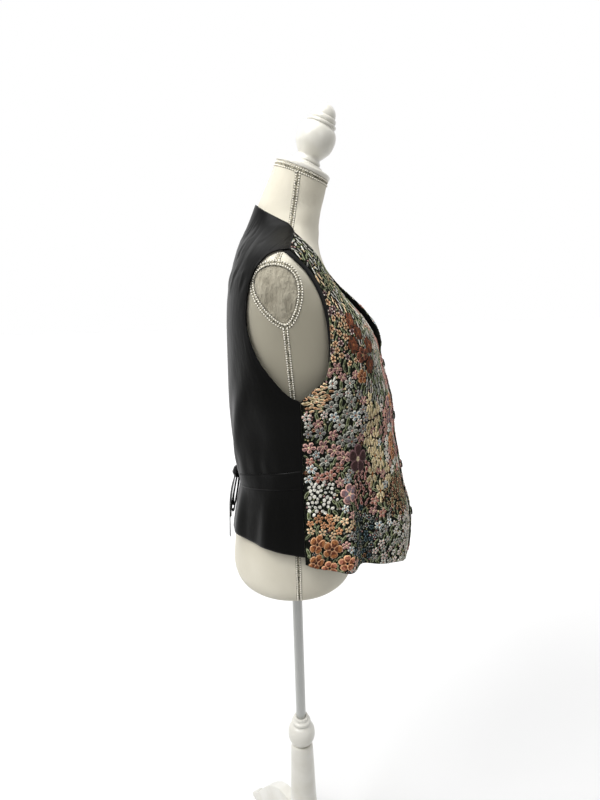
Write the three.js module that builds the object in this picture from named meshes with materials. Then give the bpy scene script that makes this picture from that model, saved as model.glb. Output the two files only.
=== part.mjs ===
// A tapestry vest on a limbless dress form with a turned stand.
// Millimetres, +Z up. The wearer faces -Y and the wearer's right is at -X.
// The stand's pole is the upright axis that every section is measured from.
import * as THREE from "three";

// Cloth and seams
const SEAM_GAP = 0.4; // between two pieces that are sewn or rest together
const CLOTH_CLEARANCE = 1.5; // inner face of the cloth above the form where it touches
const SATIN_WALL = 1.6;
const TAPESTRY_WALL = 2.2;
const FACING_WALL = 1.2;
const BELT_WALL = 1.4;

// Heights of the stand and form above the floor
const FORM_BOTTOM = 805;
const NECK_TOP = 1480;
const NECK_RADIUS = 43.5;
const NECK_LEAN = 0.43; // rise of the neck's top plane for each millimetre towards the back
const POLE_RADIUS = 9.5;
const POLE_BOTTOM = 300;
const POLE_SOCKET_DEPTH = 60; // how far the pole goes up into the form
const BALL_CENTRE = 403;
const BALL_RADIUS = 27;
const POST_TOP = 377;
const POST_BOTTOM = 74;
const POST_RADIUS = 30;
const FOOT_REACH = 250; // from the pole to a foot's tip
const LEG_THICKNESS = 24;

// The vest's landmarks
const SIDE_SEAM_Y = -17;
const UNDERARM_Z = 1149;
const SIDE_HEM = { front: 887, back: 900 };
const CENTRE_HEM = { front: 794, back: 890 };
const NECK_V_Z = 1206;
const NAPE_Z = 1426;
const LAP = 15; // how far each front runs past the centre
const SHOULDER_TIP = { y: -7, z: 1360 };
const SHOULDER_NECK = { y: -13, z: 1385.5 };

// The origin is the middle of the floor under the part, whose legs reach further to the front.
const LEG_SPREAD = THREE.MathUtils.degToRad(30);
const backReach = FOOT_REACH * Math.sin(LEG_SPREAD) + (LEG_THICKNESS / 2) * Math.cos(LEG_SPREAD);
const ORIGIN_SHIFT_Y = (FOOT_REACH - backReach) / 2;

const WORN = {
  form: { color: 0xe6e0d0, roughness: 0.85, metalness: 0 },
  paint: { color: 0xe9e7e0, roughness: 0.35, metalness: 0 },
  steel: { color: 0xc9cacb, roughness: 0.3, metalness: 0.8 },
  satin: { color: 0x17171a, roughness: 0.4, metalness: 0 },
  tapestry: { color: 0x6a5a48, roughness: 0.8, metalness: 0 },
  facing: { color: 0x0d0d0e, roughness: 0.6, metalness: 0 },
  button: { color: 0x111112, roughness: 0.3, metalness: 0 },
};

const root = new THREE.Group();
const wearer = new THREE.Group();
wearer.position.y = ORIGIN_SHIFT_Y;
root.add(wearer);

function addPiece(name, finish, geometry) {
  const piece = new THREE.Mesh(geometry, new THREE.MeshStandardMaterial(WORN[finish]));
  piece.name = name;
  wearer.add(piece);
  return piece;
}

// ---- Tables that are read as smooth curves ----

// The rows rise in their first column. The answer holds every other column at that value.
function smoothTable(columns, rows) {
  const last = rows.length - 1;
  const slope = (row, column) => {
    const before = rows[Math.max(row - 1, 0)];
    const after = rows[Math.min(row + 1, last)];
    return (after[column] - before[column]) / (after[0] - before[0]);
  };
  return (key) => {
    const inside = THREE.MathUtils.clamp(key, rows[0][0], rows[last][0]);
    let row = 0;
    while (row < last - 1 && inside > rows[row + 1][0]) row += 1;
    const span = rows[row + 1][0] - rows[row][0];
    const t = (inside - rows[row][0]) / span;
    const answer = {};
    columns.forEach((name, column) => {
      if (column === 0) return;
      const low = rows[row][column];
      const high = rows[row + 1][column];
      answer[name] =
        low * (1 + 2 * t) * (1 - t) ** 2 +
        high * t * t * (3 - 2 * t) +
        slope(row, column) * span * t * (1 - t) ** 2 -
        slope(row + 1, column) * span * t * t * (1 - t);
    });
    return answer;
  };
}

const smoothStep = (low, high, value) => THREE.MathUtils.smoothstep(value, low, high);
const bell = (offset, width) => Math.exp(-((offset / width) ** 2));

// ---- Body sections ----
// A section is level, as wide as twice halfWidth, and reaches from front to back. Its widest
// points lie at side. square and frontSquare are the powers of its rounded outline behind and in
// front of them, and lean tips it forward.
const SECTION_COLUMNS = ["z", "halfWidth", "back", "side", "front", "square", "frontSquare", "lean"];

const SHOULDER_SECTIONS = [
  [1290, 164, 92, 0, -88, 2.3, 2.3, 0],
  [1320, 164, 86.5, 4, -69, 2.3, 2.15, 0],
  [1340, 158, 80.5, 4, -60, 2.3, 1.9, 0],
  [1352, 149, 76.5, 3, -56, 2.3, 1.75, 0],
  [1362, 132, 73.5, 1, -54, 2.3, 1.6, 0],
  [1372, 109, 69.5, 0, -53, 2.25, 1.5, 0],
  [1384, 82, 63.5, -4, -54, 2.2, 1.5, 0],
  [1396, 64, 57.5, -6, -54, 2.1, 1.7, 0],
  [1412, 54, 49.5, -8, -56, 2, 2, 0.02],
  [1430, 49, 40, -9, -59, 2, 2, 0.1],
];

const formSection = smoothTable(SECTION_COLUMNS, [
  [FORM_BOTTOM, 140, 101, 0, -97, 2.2, 2.2, 0],
  [811, 147, 108, 0, -103, 2.2, 2.2, 0],
  [824, 152, 111.5, 0, -107, 2.2, 2.2, 0],
  [850, 153, 109.5, 0, -110, 2.2, 2.2, 0],
  [880, 151, 105.5, 0, -111, 2.2, 2.2, 0],
  [920, 143, 97, -2, -108, 2.2, 2.2, 0],
  [960, 130, 84, -5, -102, 2.2, 2.2, 0],
  [1000, 118, 75, -8, -97, 2.2, 2.2, 0],
  [1030, 116, 74, -8, -97, 2.2, 2.2, 0],
  [1070, 122, 79, -8, -103, 2.2, 2.2, 0],
  [1110, 131, 87, -8, -114, 2.2, 2.2, 0],
  [1149, 140, 91, -8, -125, 2.2, 2.2, 0],
  [1185, 147, 94.5, -8, -130, 2.25, 2.25, 0],
  [1220, 153, 96, -6, -124, 2.3, 2.3, 0],
  [1260, 160, 94.5, -3, -106, 2.3, 2.3, 0],
  ...SHOULDER_SECTIONS,
  [1455, 46, 24, -20, -64, 2, 2, 0.28],
  [NECK_TOP, NECK_RADIUS, 10, -29.5, -69, 2, 2, NECK_LEAN],
]);

// The cloth hangs on the shoulders and upper back, and stands off everywhere below.
const vestSection = smoothTable(SECTION_COLUMNS, [
  [780, 166, 107, -12, -194, 2.1, 1.7, 0],
  [812, 166, 108, -12, -199, 2.1, 1.7, 0],
  [833, 166, 109.5, -12, -204, 2.1, 1.7, 0],
  [873, 165, 109.5, -12, -206, 2.1, 1.75, 0],
  [914, 163, 105, -12, -202, 2.1, 1.8, 0],
  [953, 158, 97, -12, -191, 2.1, 1.85, 0],
  [985, 154, 90.5, -12, -185, 2.1, 1.9, 0],
  [1019, 152, 95, -12, -179, 2.1, 1.95, 0],
  [1052, 153, 98.5, -12, -173, 2.1, 2, 0],
  [1085, 155, 100, -12, -170, 2.1, 2.05, 0],
  [1112, 158, 100.5, -12, -167, 2.15, 2.1, 0],
  [1139, 161, 100, -12, -160, 2.2, 2.15, 0],
  [1175, 162, 99, -12, -150, 2.2, 2.2, 0],
  [1214, 162, 97.5, -9, -141, 2.25, 2.25, 0],
  [1250, 163, 95.8, -5, -121, 2.3, 2.3, 0],
  [1275, 164, 93.8, -2, -101, 2.3, 2.3, 0],
  ...SHOULDER_SECTIONS,
]);

const power = (base, exponent) => Math.sign(base) * Math.abs(base) ** exponent;

// Angles run from the wearer's left side (0) over the back to the right side (pi) and the front.
function sectionPoint(section, angle, height) {
  const s = section(height);
  const behind = Math.sin(angle) > 0;
  const depth = behind ? s.back - s.side : s.side - s.front;
  const rounding = 2 / (behind ? s.square : s.frontSquare);
  const y = s.side + depth * power(Math.sin(angle), rounding);
  const x = s.halfWidth * power(Math.cos(angle), rounding);
  return new THREE.Vector3(x, y, height + s.lean * (y - s.side));
}

// The angle on the right half of the vest at which the outline has this y, or this x in front.
function angleAtY(y, height) {
  const s = vestSection(height);
  const behind = y > s.side;
  const share = (y - s.side) / (behind ? s.back - s.side : s.side - s.front);
  const rounding = (behind ? s.square : s.frontSquare) / 2;
  return Math.PI - Math.asin(power(THREE.MathUtils.clamp(share, -1, 1), rounding));
}

function angleAtX(x, height) {
  const s = vestSection(height);
  const share = THREE.MathUtils.clamp(x / s.halfWidth, -1, 1);
  return 2 * Math.PI - Math.acos(power(share, s.frontSquare / 2));
}

// ---- Folds of the hanging cloth, on the right half and, with their own sizes, on the left ----
const FOLD_COLUMNS = ["angle", "width", "depth", "lowest", "highest", "left"];
const FOLDS = [
  [207, 6, 6, 780, 1000, 0.7], // ridge behind the front hem's step
  [217, 7, -17, 780, 1020, 0.4], // deep trough in front of it
  [243, 8, 5, 780, 980, 1.2],
  [198, 7, -3, 860, 1010, 1.1],
  [158, 9, 4, 860, 990, 0.8], // gathers under the half belt
  [138, 8, -4, 860, 980, 1.1],
  [120, 8, 4, 860, 1000, 0.9],
  [90, 16, -5, 925, 1010, 1], // pulled in under the bow
  [150, 10, -3, 1030, 1140, 0.8], // slack above the half belt
  [126, 11, 3.5, 1020, 1180, 1.2],
].map((row) => Object.fromEntries(FOLD_COLUMNS.map((name, column) => [name, row[column]])));
const FOLD_FADE = 70; // height over which a fold dies out at each end

function foldDepth(angle, height) {
  const onLeft = Math.cos(angle) > 0;
  const degrees = THREE.MathUtils.radToDeg(onLeft ? 3 * Math.PI - angle : angle) % 360;
  return FOLDS.reduce((sum, fold) => {
    const rising = smoothStep(fold.lowest - FOLD_FADE, fold.lowest, height);
    const dying = 1 - smoothStep(fold.highest - FOLD_FADE, fold.highest + FOLD_FADE / 2, height);
    const size = onLeft ? fold.depth * fold.left : fold.depth;
    return sum + size * rising * dying * bell(degrees - fold.angle, fold.width);
  }, 0);
}

// A point of the vest's under face, moved out along its normal.
const NORMAL_STEP = 0.03;
function vestPoint(angle, height, out) {
  const at = (a, z) => sectionPoint(vestSection, a, z);
  const point = at(angle, height);
  const around = at(angle + NORMAL_STEP, height).sub(at(angle - NORMAL_STEP, height));
  const upward = at(angle, height + 2).sub(at(angle, height - 2));
  const normal = around.cross(upward).normalize();
  return point.addScaledVector(normal, out + foldDepth(angle, height));
}

// ---- Building closed meshes ----

function closedGeometry(points, triangles) {
  const volume = triangles.reduce((sum, [a, b, c]) => {
    const cross = new THREE.Vector3().crossVectors(points[b], points[c]);
    return sum + points[a].dot(cross);
  }, 0);
  const facing = volume < 0 ? triangles.map(([a, b, c]) => [a, c, b]) : triangles;
  const geometry = new THREE.BufferGeometry().setFromPoints(points);
  geometry.setIndex(facing.flat());
  geometry.computeVertexNormals();
  return geometry;
}

// A solid through rings of equal length, closed by a fan at each end.
function loft(rings) {
  const count = rings[0].length;
  const points = rings.flat();
  const triangles = [];
  for (let ring = 0; ring < rings.length - 1; ring += 1) {
    for (let side = 0; side < count; side += 1) {
      const next = (side + 1) % count;
      const [a, b] = [ring * count + side, ring * count + next];
      triangles.push([a, b, a + count], [b, b + count, a + count]);
    }
  }
  [rings[0], rings[rings.length - 1]].forEach((ring, end) => {
    const start = end === 0 ? 0 : (rings.length - 1) * count;
    const middle = points.length;
    const centre = ring.reduce((sum, point) => sum.add(point), new THREE.Vector3());
    points.push(centre.divideScalar(count));
    for (let side = 0; side < count; side += 1) {
      const next = start + ((side + 1) % count);
      triangles.push(end === 0 ? [middle, next, start + side] : [middle, start + side, next]);
    }
  });
  return closedGeometry(points, triangles);
}

// A wall between two sheets of points, each a list of rows of equal length.
function wall(outer, inner) {
  const rows = outer.length;
  const columns = outer[0].length;
  const points = [...outer.flat(), ...inner.flat()];
  const under = rows * columns;
  const triangles = [];
  const span = (a, b) => points[a].distanceTo(points[b]);
  const quad = (a, b, c, d) => {
    const fromFirst = span(a, c) <= span(b, d);
    triangles.push(...(fromFirst ? [[a, b, c], [a, c, d]] : [[b, c, d], [b, d, a]]));
  };
  for (let row = 0; row < rows - 1; row += 1) {
    for (let column = 0; column < columns - 1; column += 1) {
      const a = row * columns + column;
      quad(a, a + 1, a + columns + 1, a + columns);
      quad(under + a, under + a + columns, under + a + columns + 1, under + a + 1);
    }
  }
  for (let column = 0; column < columns - 1; column += 1) {
    const top = (rows - 1) * columns + column;
    quad(column, under + column, under + column + 1, column + 1);
    quad(top, top + 1, under + top + 1, under + top);
  }
  for (let row = 0; row < rows - 1; row += 1) {
    const a = row * columns;
    const b = a + columns - 1;
    quad(a, a + columns, under + a + columns, under + a);
    quad(b, under + b, under + b + columns, b + columns);
  }
  return closedGeometry(points, triangles);
}

// A flat ribbon along a curve, as wide as width along the direction across.
function ribbon(path, across, width, thickness, steps) {
  const curve = new THREE.CatmullRomCurve3(path.map((p) => new THREE.Vector3(...p)));
  const sideways = new THREE.Vector3(...across).normalize();
  const rings = [];
  for (let step = 0; step <= steps; step += 1) {
    const point = curve.getPointAt(step / steps);
    const normal = curve.getTangentAt(step / steps).cross(sideways).normalize();
    const corner = (w, n) =>
      point
        .clone()
        .addScaledVector(sideways, (w * width) / 2)
        .addScaledVector(normal, (n * thickness) / 2);
    rings.push([corner(-1, -1), corner(1, -1), corner(1, 1), corner(-1, 1)]);
  }
  return loft(rings);
}

// Turned work: rows of [radius, height], closed on the axis or round a bore.
function turned(profile, segments) {
  const outline = profile.map(([radius, height]) => new THREE.Vector2(radius, height));
  const geometry = new THREE.LatheGeometry(outline, segments);
  geometry.rotateX(Math.PI / 2);
  return geometry;
}

const mirrored = (point) => new THREE.Vector3(-point.x, point.y, point.z);

// ---- Dress form: one padded, smooth torso with a socket for the pole ----
const FORM_SIDES = 40;
const FORM_LEVELS = [
  805, 808, 813, 824, 850, 885, 920, 955, 985, 1015, 1045, 1080, 1115, 1150, 1185, 1220, 1255, 1285,
  1312, 1332, 1344, 1352, 1360, 1368, 1376, 1386, 1398, 1414, 1434, 1456, 1480,
];
const BUST = { x: 72, z: 1180, across: 42, tall: 48, depth: 9 };

function formPoint(angle, height) {
  const point = sectionPoint(formSection, angle, height);
  const cup = bell(Math.abs(point.x) - BUST.x, BUST.across) * bell(point.z - BUST.z, BUST.tall);
  if (Math.sin(angle) < 0) point.y += BUST.depth * cup * Math.sin(angle);
  return point;
}

function poleRing(radius, height) {
  return Array.from({ length: FORM_SIDES }, (_, side) => {
    const angle = (side / FORM_SIDES) * 2 * Math.PI;
    return new THREE.Vector3(radius * Math.cos(angle), radius * Math.sin(angle), height);
  });
}

const formRings = FORM_LEVELS.map((height) =>
  Array.from({ length: FORM_SIDES }, (_, side) => formPoint((side / FORM_SIDES) * 2 * Math.PI, height)),
);
const socketRadius = POLE_RADIUS + SEAM_GAP;
const socketTop = FORM_BOTTOM + POLE_SOCKET_DEPTH;
addPiece(
  "form_torso",
  "form",
  loft([poleRing(socketRadius, socketTop), poleRing(socketRadius, FORM_BOTTOM), ...formRings]),
);

// ---- Neck cap and finial, square to the leaning neck ----
const neckGroup = new THREE.Group();
neckGroup.position.set(0, -29.5, NECK_TOP);
neckGroup.rotation.x = Math.atan(NECK_LEAN);
wearer.add(neckGroup);

const CAP_PROFILE = [
  [0, SEAM_GAP],
  [44, SEAM_GAP],
  [45, 2],
  [45, 6],
  [43, 8],
  [31, 10],
  [29, 12.5],
  [22, 14.5],
  [0, 14.5],
];
const FINIAL_PROFILE = [
  [0, 0],
  [20.5, 0],
  [21, 2.5],
  [18.5, 6],
  [18.5, 9.5],
  [23, 15],
  [28.5, 24],
  [30.5, 34],
  [30.5, 42],
  [27.5, 51],
  [22, 57.5],
  [23.5, 59],
  [23.5, 61.5],
  [19.5, 63.5],
  [20.5, 66],
  [20, 69.5],
  [17.5, 71.5],
  [16.5, 77],
  [12, 84],
  [6, 88],
  [0, 89],
];
const CAP_TOP = 14.5;
const FINIAL_FORWARD = 2.5; // the finial is screwed in a little in front of the cap's middle
neckGroup.add(addPiece("neck_cap", "paint", turned(CAP_PROFILE, 28)));
const finial = addPiece("finial", "paint", turned(FINIAL_PROFILE, 24));
finial.position.set(0, -FINIAL_FORWARD, CAP_TOP + SEAM_GAP);
neckGroup.add(finial);

// ---- Stand: steel pole, turned ball and post, three sawn legs ----
const POLE_SIDES = 20;
const poleTop = socketTop - SEAM_GAP;
addPiece(
  "pole",
  "steel",
  turned([[0, POLE_BOTTOM], [POLE_RADIUS, POLE_BOTTOM], [POLE_RADIUS, poleTop], [0, poleTop]], POLE_SIDES),
);

const ballBottom = BALL_CENTRE - 24;
addPiece(
  "stand_ball",
  "paint",
  turned(
    [
      [socketRadius, ballBottom],
      [14, ballBottom],
      [21, ballBottom + 6],
      [26, ballBottom + 15],
      [BALL_RADIUS, BALL_CENTRE],
      [26, ballBottom + 34],
      [21, ballBottom + 43],
      [17, ballBottom + 47],
      [18.5, ballBottom + 51],
      [18.5, ballBottom + 55],
      [14, ballBottom + 58],
      [14, ballBottom + 64],
      [socketRadius, ballBottom + 64],
      [socketRadius, ballBottom],
    ],
    POLE_SIDES,
  ),
);

const postSocket = POLE_BOTTOM - SEAM_GAP;
addPiece(
  "stand_post",
  "paint",
  turned(
    [
      [0, POST_BOTTOM],
      [16, POST_BOTTOM],
      [27, POST_BOTTOM + 10],
      [POST_RADIUS, POST_BOTTOM + 22],
      [POST_RADIUS, POST_BOTTOM + 120],
      [27.5, POST_BOTTOM + 132],
      [27.5, POST_BOTTOM + 156],
      [22, POST_TOP - 6],
      [20, POST_TOP],
      [socketRadius, POST_TOP],
      [socketRadius, postSocket],
      [0, postSocket],
    ],
    POLE_SIDES,
  ),
);

// A leg is sawn from board, bowed from the post to a foot with a flat sole.
function legGeometry() {
  const inset = POST_RADIUS + SEAM_GAP;
  const outline = new THREE.Shape();
  outline.moveTo(inset, POST_BOTTOM + 112);
  outline.bezierCurveTo(90, POST_BOTTOM + 104, 150, 92, FOOT_REACH - 18, 22);
  outline.quadraticCurveTo(FOOT_REACH, 14, FOOT_REACH, 6);
  outline.lineTo(FOOT_REACH - 4, 0);
  outline.lineTo(FOOT_REACH - 40, 0);
  outline.bezierCurveTo(160, 22, 110, 84, inset, POST_BOTTOM + 34);
  outline.closePath();
  const geometry = new THREE.ExtrudeGeometry(outline, {
    depth: LEG_THICKNESS,
    bevelEnabled: false,
    curveSegments: 10,
  });
  geometry.translate(0, 0, -LEG_THICKNESS / 2);
  geometry.rotateX(Math.PI / 2);
  return geometry;
}

[
  ["leg_front", -Math.PI / 2],
  ["leg_back_left", LEG_SPREAD],
  ["leg_back_right", Math.PI - LEG_SPREAD],
].forEach(([name, turn]) => {
  addPiece(name, "paint", legGeometry()).rotation.z = turn;
});

// ---- Vest outlines, on the right half ----

// Armhole edges by height, from the underarm up to the shoulder tip.
const ARMHOLE_COLUMNS = ["along", "y", "z"];
const armholeFront = smoothTable(ARMHOLE_COLUMNS, [
  [0, SIDE_SEAM_Y, UNDERARM_Z],
  [0.11, -35, 1165],
  [0.2, -52, 1179],
  [0.3, -59, 1204],
  [0.42, -61, 1240],
  [0.54, -58.5, 1273],
  [0.63, -53.5, 1295],
  [0.72, -46, 1314],
  [0.81, -35, 1332],
  [0.91, -20, 1348],
  [1, SHOULDER_TIP.y, SHOULDER_TIP.z],
]);
const armholeBack = smoothTable(ARMHOLE_COLUMNS, [
  [0, SIDE_SEAM_Y, UNDERARM_Z],
  [0.08, 2, 1160],
  [0.17, 21, 1182],
  [0.27, 40, 1209],
  [0.38, 53, 1245],
  [0.5, 56, 1280],
  [0.6, 53, 1308],
  [0.7, 44, 1334],
  [0.8, 28, 1350],
  [0.89, 12, 1358],
  [1, SHOULDER_TIP.y, SHOULDER_TIP.z],
]);

// The neckline of a front, from the top of the lap up to the shoulder seam.
const neckEdge = smoothTable(
  ["along", "x", "z"],
  [
    [0, LAP, NECK_V_Z],
    [0.08, -3, 1212],
    [0.17, -20, 1223],
    [0.28, -34, 1244],
    [0.4, -46, 1272],
    [0.54, -57, 1303],
    [0.66, -67, 1328],
    [0.77, -76, 1349],
    [0.88, -81, 1369],
    [1, -78, SHOULDER_NECK.z],
  ],
);

const mix = THREE.MathUtils.lerp;

// The shoulder seam, from the tip to the neck. Each piece keeps half the seam's gap from it.
function shoulderSeam(share, gap) {
  const height = mix(SHOULDER_TIP.z, SHOULDER_NECK.z, share);
  return [angleAtY(mix(SHOULDER_TIP.y, SHOULDER_NECK.y, share) + gap, height), height];
}

// ---- Fronts: tapestry, from the side seam and armhole to the front edge and neckline ----
// Places on the vest are [angle, height]. Lower rows run from the hem to the underarm, and
// upper rows from there to the shoulder.
const LOWER_ROWS = 13;
const FRONT_UPPER_ROWS = 14;
const FRONT_COLUMNS = 20;

// The front hem's height, from the side seam to the front edge, whose lower corner is rounded.
const frontHem = smoothTable(
  ["across", "z"],
  [
    [0, SIDE_HEM.front],
    [0.06, 879],
    [0.15, 870],
    [0.24, 860],
    [0.33, 858],
    [0.5, 846],
    [0.63, 833],
    [0.8, 812],
    [0.92, 798],
    [1, CENTRE_HEM.front],
  ],
);

function frontPlace(across, row) {
  const upper = Math.max(0, (row - LOWER_ROWS) / FRONT_UPPER_ROWS);
  const lower = Math.min(1, row / LOWER_ROWS);
  const gap = -SEAM_GAP / 2;
  if (upper === 0) {
    const sideZ = mix(SIDE_HEM.front, UNDERARM_Z, lower);
    const centreZ = mix(CENTRE_HEM.front, NECK_V_Z, lower);
    const sag = mix(SIDE_HEM.front, CENTRE_HEM.front, across) - frontHem(across).z;
    const angle = mix(angleAtY(SIDE_SEAM_Y + gap, sideZ), angleAtX(LAP, centreZ), across);
    return [angle, mix(sideZ, centreZ, across) - sag * (1 - lower) ** 2];
  }
  const arm = armholeFront(upper);
  const neck = neckEdge(upper);
  const ends = [
    [angleAtY(arm.y + gap, arm.z), arm.z],
    upper < 1 ? [angleAtX(neck.x, neck.z), neck.z] : shoulderSeam(1, gap),
  ];
  const [tip, top, seam] = [shoulderSeam(0, gap), shoulderSeam(1, gap), shoulderSeam(across, gap)];
  return [0, 1].map((k) => {
    const bow = seam[k] - mix(tip[k], top[k], across);
    return mix(ends[0][k], ends[1][k], across) + bow * upper ** 4;
  });
}

// The left front laps over the right one, and its neck edge stands away from the chest.
const LAP_LIFT = TAPESTRY_WALL + 1.2;
const LAP_BLEND = { from: 22, to: 62 };
const NECK_STAND = 10;

function frontPoint(side, across, row, out) {
  const [angle, height] = frontPlace(across, row);
  if (side === "right") return vestPoint(angle, height, out);
  const turn = 3 * Math.PI - angle;
  const { x, z } = vestPoint(turn, height, out);
  const lap = LAP_LIFT * (1 - smoothStep(LAP_BLEND.from, LAP_BLEND.to, x)) * (z < 1320 ? 1 : 0);
  const rise = smoothStep(1188, 1226, z) * (1 - 0.8 * smoothStep(1226, 1350, z));
  const stand = NECK_STAND * rise * (1 - smoothStep(1350, 1384, z)) * smoothStep(0.45, 1, across);
  return vestPoint(turn, height, out + lap + stand);
}

// Rows of points over a grid of places.
const sheetOf = (rows, columns, pointAt) => rows.map((row) => columns.map((column) => pointAt(column, row)));
const range = (from, to, step = 1) => {
  const count = Math.round((to - from) / step);
  return Array.from({ length: count + 1 }, (_, k) => from + k * step);
};

function frontWall(side, rows, columns, inner, thickness) {
  const sheet = (out) =>
    sheetOf(rows, columns, (column, row) => frontPoint(side, column / FRONT_COLUMNS, row, out));
  return wall(sheet(inner + thickness), sheet(inner));
}

const frontRows = range(0, LOWER_ROWS + FRONT_UPPER_ROWS);
const frontColumns = range(0, FRONT_COLUMNS);
["right", "left"].forEach((side) => {
  const geometry = frontWall(side, frontRows, frontColumns, CLOTH_CLEARANCE, TAPESTRY_WALL);
  addPiece(`front_${side}`, "tapestry", geometry);
});

// The black facing behind the neck edge that stands away.
const NECK_FACING_ROWS = range(LOWER_ROWS + 1, LOWER_ROWS + 9);
const NECK_FACING_COLUMNS = range(FRONT_COLUMNS - 3, FRONT_COLUMNS);
addPiece(
  "neck_facing_left",
  "facing",
  frontWall(
    "left",
    NECK_FACING_ROWS,
    NECK_FACING_COLUMNS,
    CLOTH_CLEARANCE - SEAM_GAP - FACING_WALL,
    FACING_WALL,
  ),
);

// The black armhole facing rolls out past the tapestry and narrows downwards.
const ARM_FACING = { from: 0.3, to: 0.96, steps: 10, lowWidth: 3, highWidth: 10 };

function armFacingSheet(side, out) {
  const alongs = range(ARM_FACING.from, ARM_FACING.to, (ARM_FACING.to - ARM_FACING.from) / ARM_FACING.steps);
  return sheetOf(alongs, [0, 0.5, 1], (share, along) => {
    const arm = armholeFront(along);
    const grown = (along - ARM_FACING.from) / (ARM_FACING.to - ARM_FACING.from);
    const width = mix(ARM_FACING.lowWidth, ARM_FACING.highWidth, Math.sqrt(grown));
    const angle = angleAtY(arm.y + 1.5 * SEAM_GAP + share * width, arm.z + share * width * 0.2);
    return vestPoint(side === "left" ? 3 * Math.PI - angle : angle, arm.z + share * width * 0.2, out);
  });
}

["right", "left"].forEach((side) => {
  const outer = armFacingSheet(side, CLOTH_CLEARANCE + FACING_WALL);
  addPiece(`arm_facing_${side}`, "facing", wall(outer, armFacingSheet(side, CLOTH_CLEARANCE)));
});

// Flat black buttons close the lap.
const BUTTON = { radius: 7.5, rim: 6.3, thickness: 3, first: 1168, spacing: 92, count: 4 };
const BUTTON_PROFILE = [
  [0, 0],
  [BUTTON.rim, 0],
  [BUTTON.radius, BUTTON.thickness / 2],
  [BUTTON.rim, BUTTON.thickness],
  [0, BUTTON.thickness - 0.6],
];

range(1, BUTTON.count).forEach((number) => {
  const height = BUTTON.first - (number - 1) * BUTTON.spacing;
  const angle = 3 * Math.PI - angleAtX(0, height);
  const out = CLOTH_CLEARANCE + TAPESTRY_WALL + LAP_LIFT + SEAM_GAP;
  const seat = vestPoint(angle, height, out);
  const normal = vestPoint(angle, height, out + 1).sub(seat);
  const button = addPiece(`button_${number}`, "button", turned(BUTTON_PROFILE, 16));
  button.position.copy(seat);
  button.quaternion.setFromUnitVectors(new THREE.Vector3(0, 0, 1), normal.normalize());
});

// ---- Back: one satin piece between the side seams ----
const BACK_UPPER_ROWS = 16;
const BACK_HALF_COLUMNS = 14;
const SHOULDER_COLUMNS = 5; // columns that end on the shoulder seam, the rest end on the neckline
const CENTRE_BACK = Math.PI / 2;
const CENTRE_UNDERARM_Z = 1165;

// The back hem's height, from a side seam to the centre back.
const backHem = smoothTable(
  ["across", "z"],
  [
    [0, SIDE_HEM.back],
    [0.09, 903],
    [0.19, 906.5],
    [0.3, 909],
    [0.42, 907],
    [0.56, 905],
    [0.7, 903],
    [0.85, 897],
    [1, CENTRE_HEM.back],
  ],
);

function backTop(column) {
  const gap = SEAM_GAP / 2;
  if (column <= SHOULDER_COLUMNS) return shoulderSeam(column / SHOULDER_COLUMNS, gap);
  const share = (column - SHOULDER_COLUMNS) / (BACK_HALF_COLUMNS - SHOULDER_COLUMNS);
  const height = mix(SHOULDER_NECK.z, NAPE_Z, Math.sin((share * Math.PI) / 2) ** 0.8);
  return [mix(shoulderSeam(1, gap)[0], CENTRE_BACK, share), height];
}

function backPlace(column, row) {
  const across = column / BACK_HALF_COLUMNS;
  const seamY = SIDE_SEAM_Y + SEAM_GAP / 2;
  const lower = Math.min(1, row / LOWER_ROWS);
  const sideZ = mix(SIDE_HEM.back, UNDERARM_Z, lower);
  const centreZ = mix(CENTRE_HEM.back, CENTRE_UNDERARM_Z, lower);
  const bow = (backHem(across).z - mix(SIDE_HEM.back, CENTRE_HEM.back, across)) * (1 - lower) ** 2;
  const side = [angleAtY(seamY, sideZ), sideZ];
  const centre = [CENTRE_BACK, centreZ];
  const base = [mix(side[0], CENTRE_BACK, across), mix(sideZ, centreZ, across) + bow];
  if (row <= LOWER_ROWS) return base;
  const upper = (row - LOWER_ROWS) / BACK_UPPER_ROWS;
  const arm = armholeBack(upper);
  const edges = [
    [angleAtY(arm.y + SEAM_GAP / 2, arm.z), arm.z],
    [CENTRE_BACK, mix(CENTRE_UNDERARM_Z, NAPE_Z, upper)],
  ];
  const [top, tip, nape] = [backTop(column), backTop(0), backTop(BACK_HALF_COLUMNS)];
  return [0, 1].map((k) => {
    const corners = mix(mix(side[k], centre[k], across), mix(tip[k], nape[k], across), upper);
    return mix(edges[0][k], edges[1][k], across) + mix(base[k], top[k], upper) - corners;
  });
}

function backSheet(out) {
  const columns = range(-BACK_HALF_COLUMNS, BACK_HALF_COLUMNS);
  return sheetOf(range(0, LOWER_ROWS + BACK_UPPER_ROWS), columns, (column, row) => {
    const [angle, height] = backPlace(BACK_HALF_COLUMNS - Math.abs(column), row);
    return vestPoint(column > 0 ? Math.PI - angle : angle, height, out);
  });
}

const satinOut = CLOTH_CLEARANCE + SATIN_WALL;
addPiece("vest_back", "satin", wall(backSheet(satinOut), backSheet(CLOTH_CLEARANCE)));

// ---- Half belts: from the side seams down to a bow at the centre back ----
const BELT = { seamZ: 1024, knotZ: 980, seamHalf: 15, knotHalf: 10, clearance: 1.1, steps: 14 };
const BELT_END = 0.045; // angle at which a half belt ends, short of the centre
const KNOT = { x: 13, y: 8, z: 11 };
const KNOT_SINK = 1; // the rounded knot sits this far in between the two belts' ends
const knotOut = satinOut + BELT.clearance + BELT_WALL + KNOT.y - KNOT_SINK;
const knotCentre = vestPoint(CENTRE_BACK, BELT.knotZ - 2, knotOut);

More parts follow.
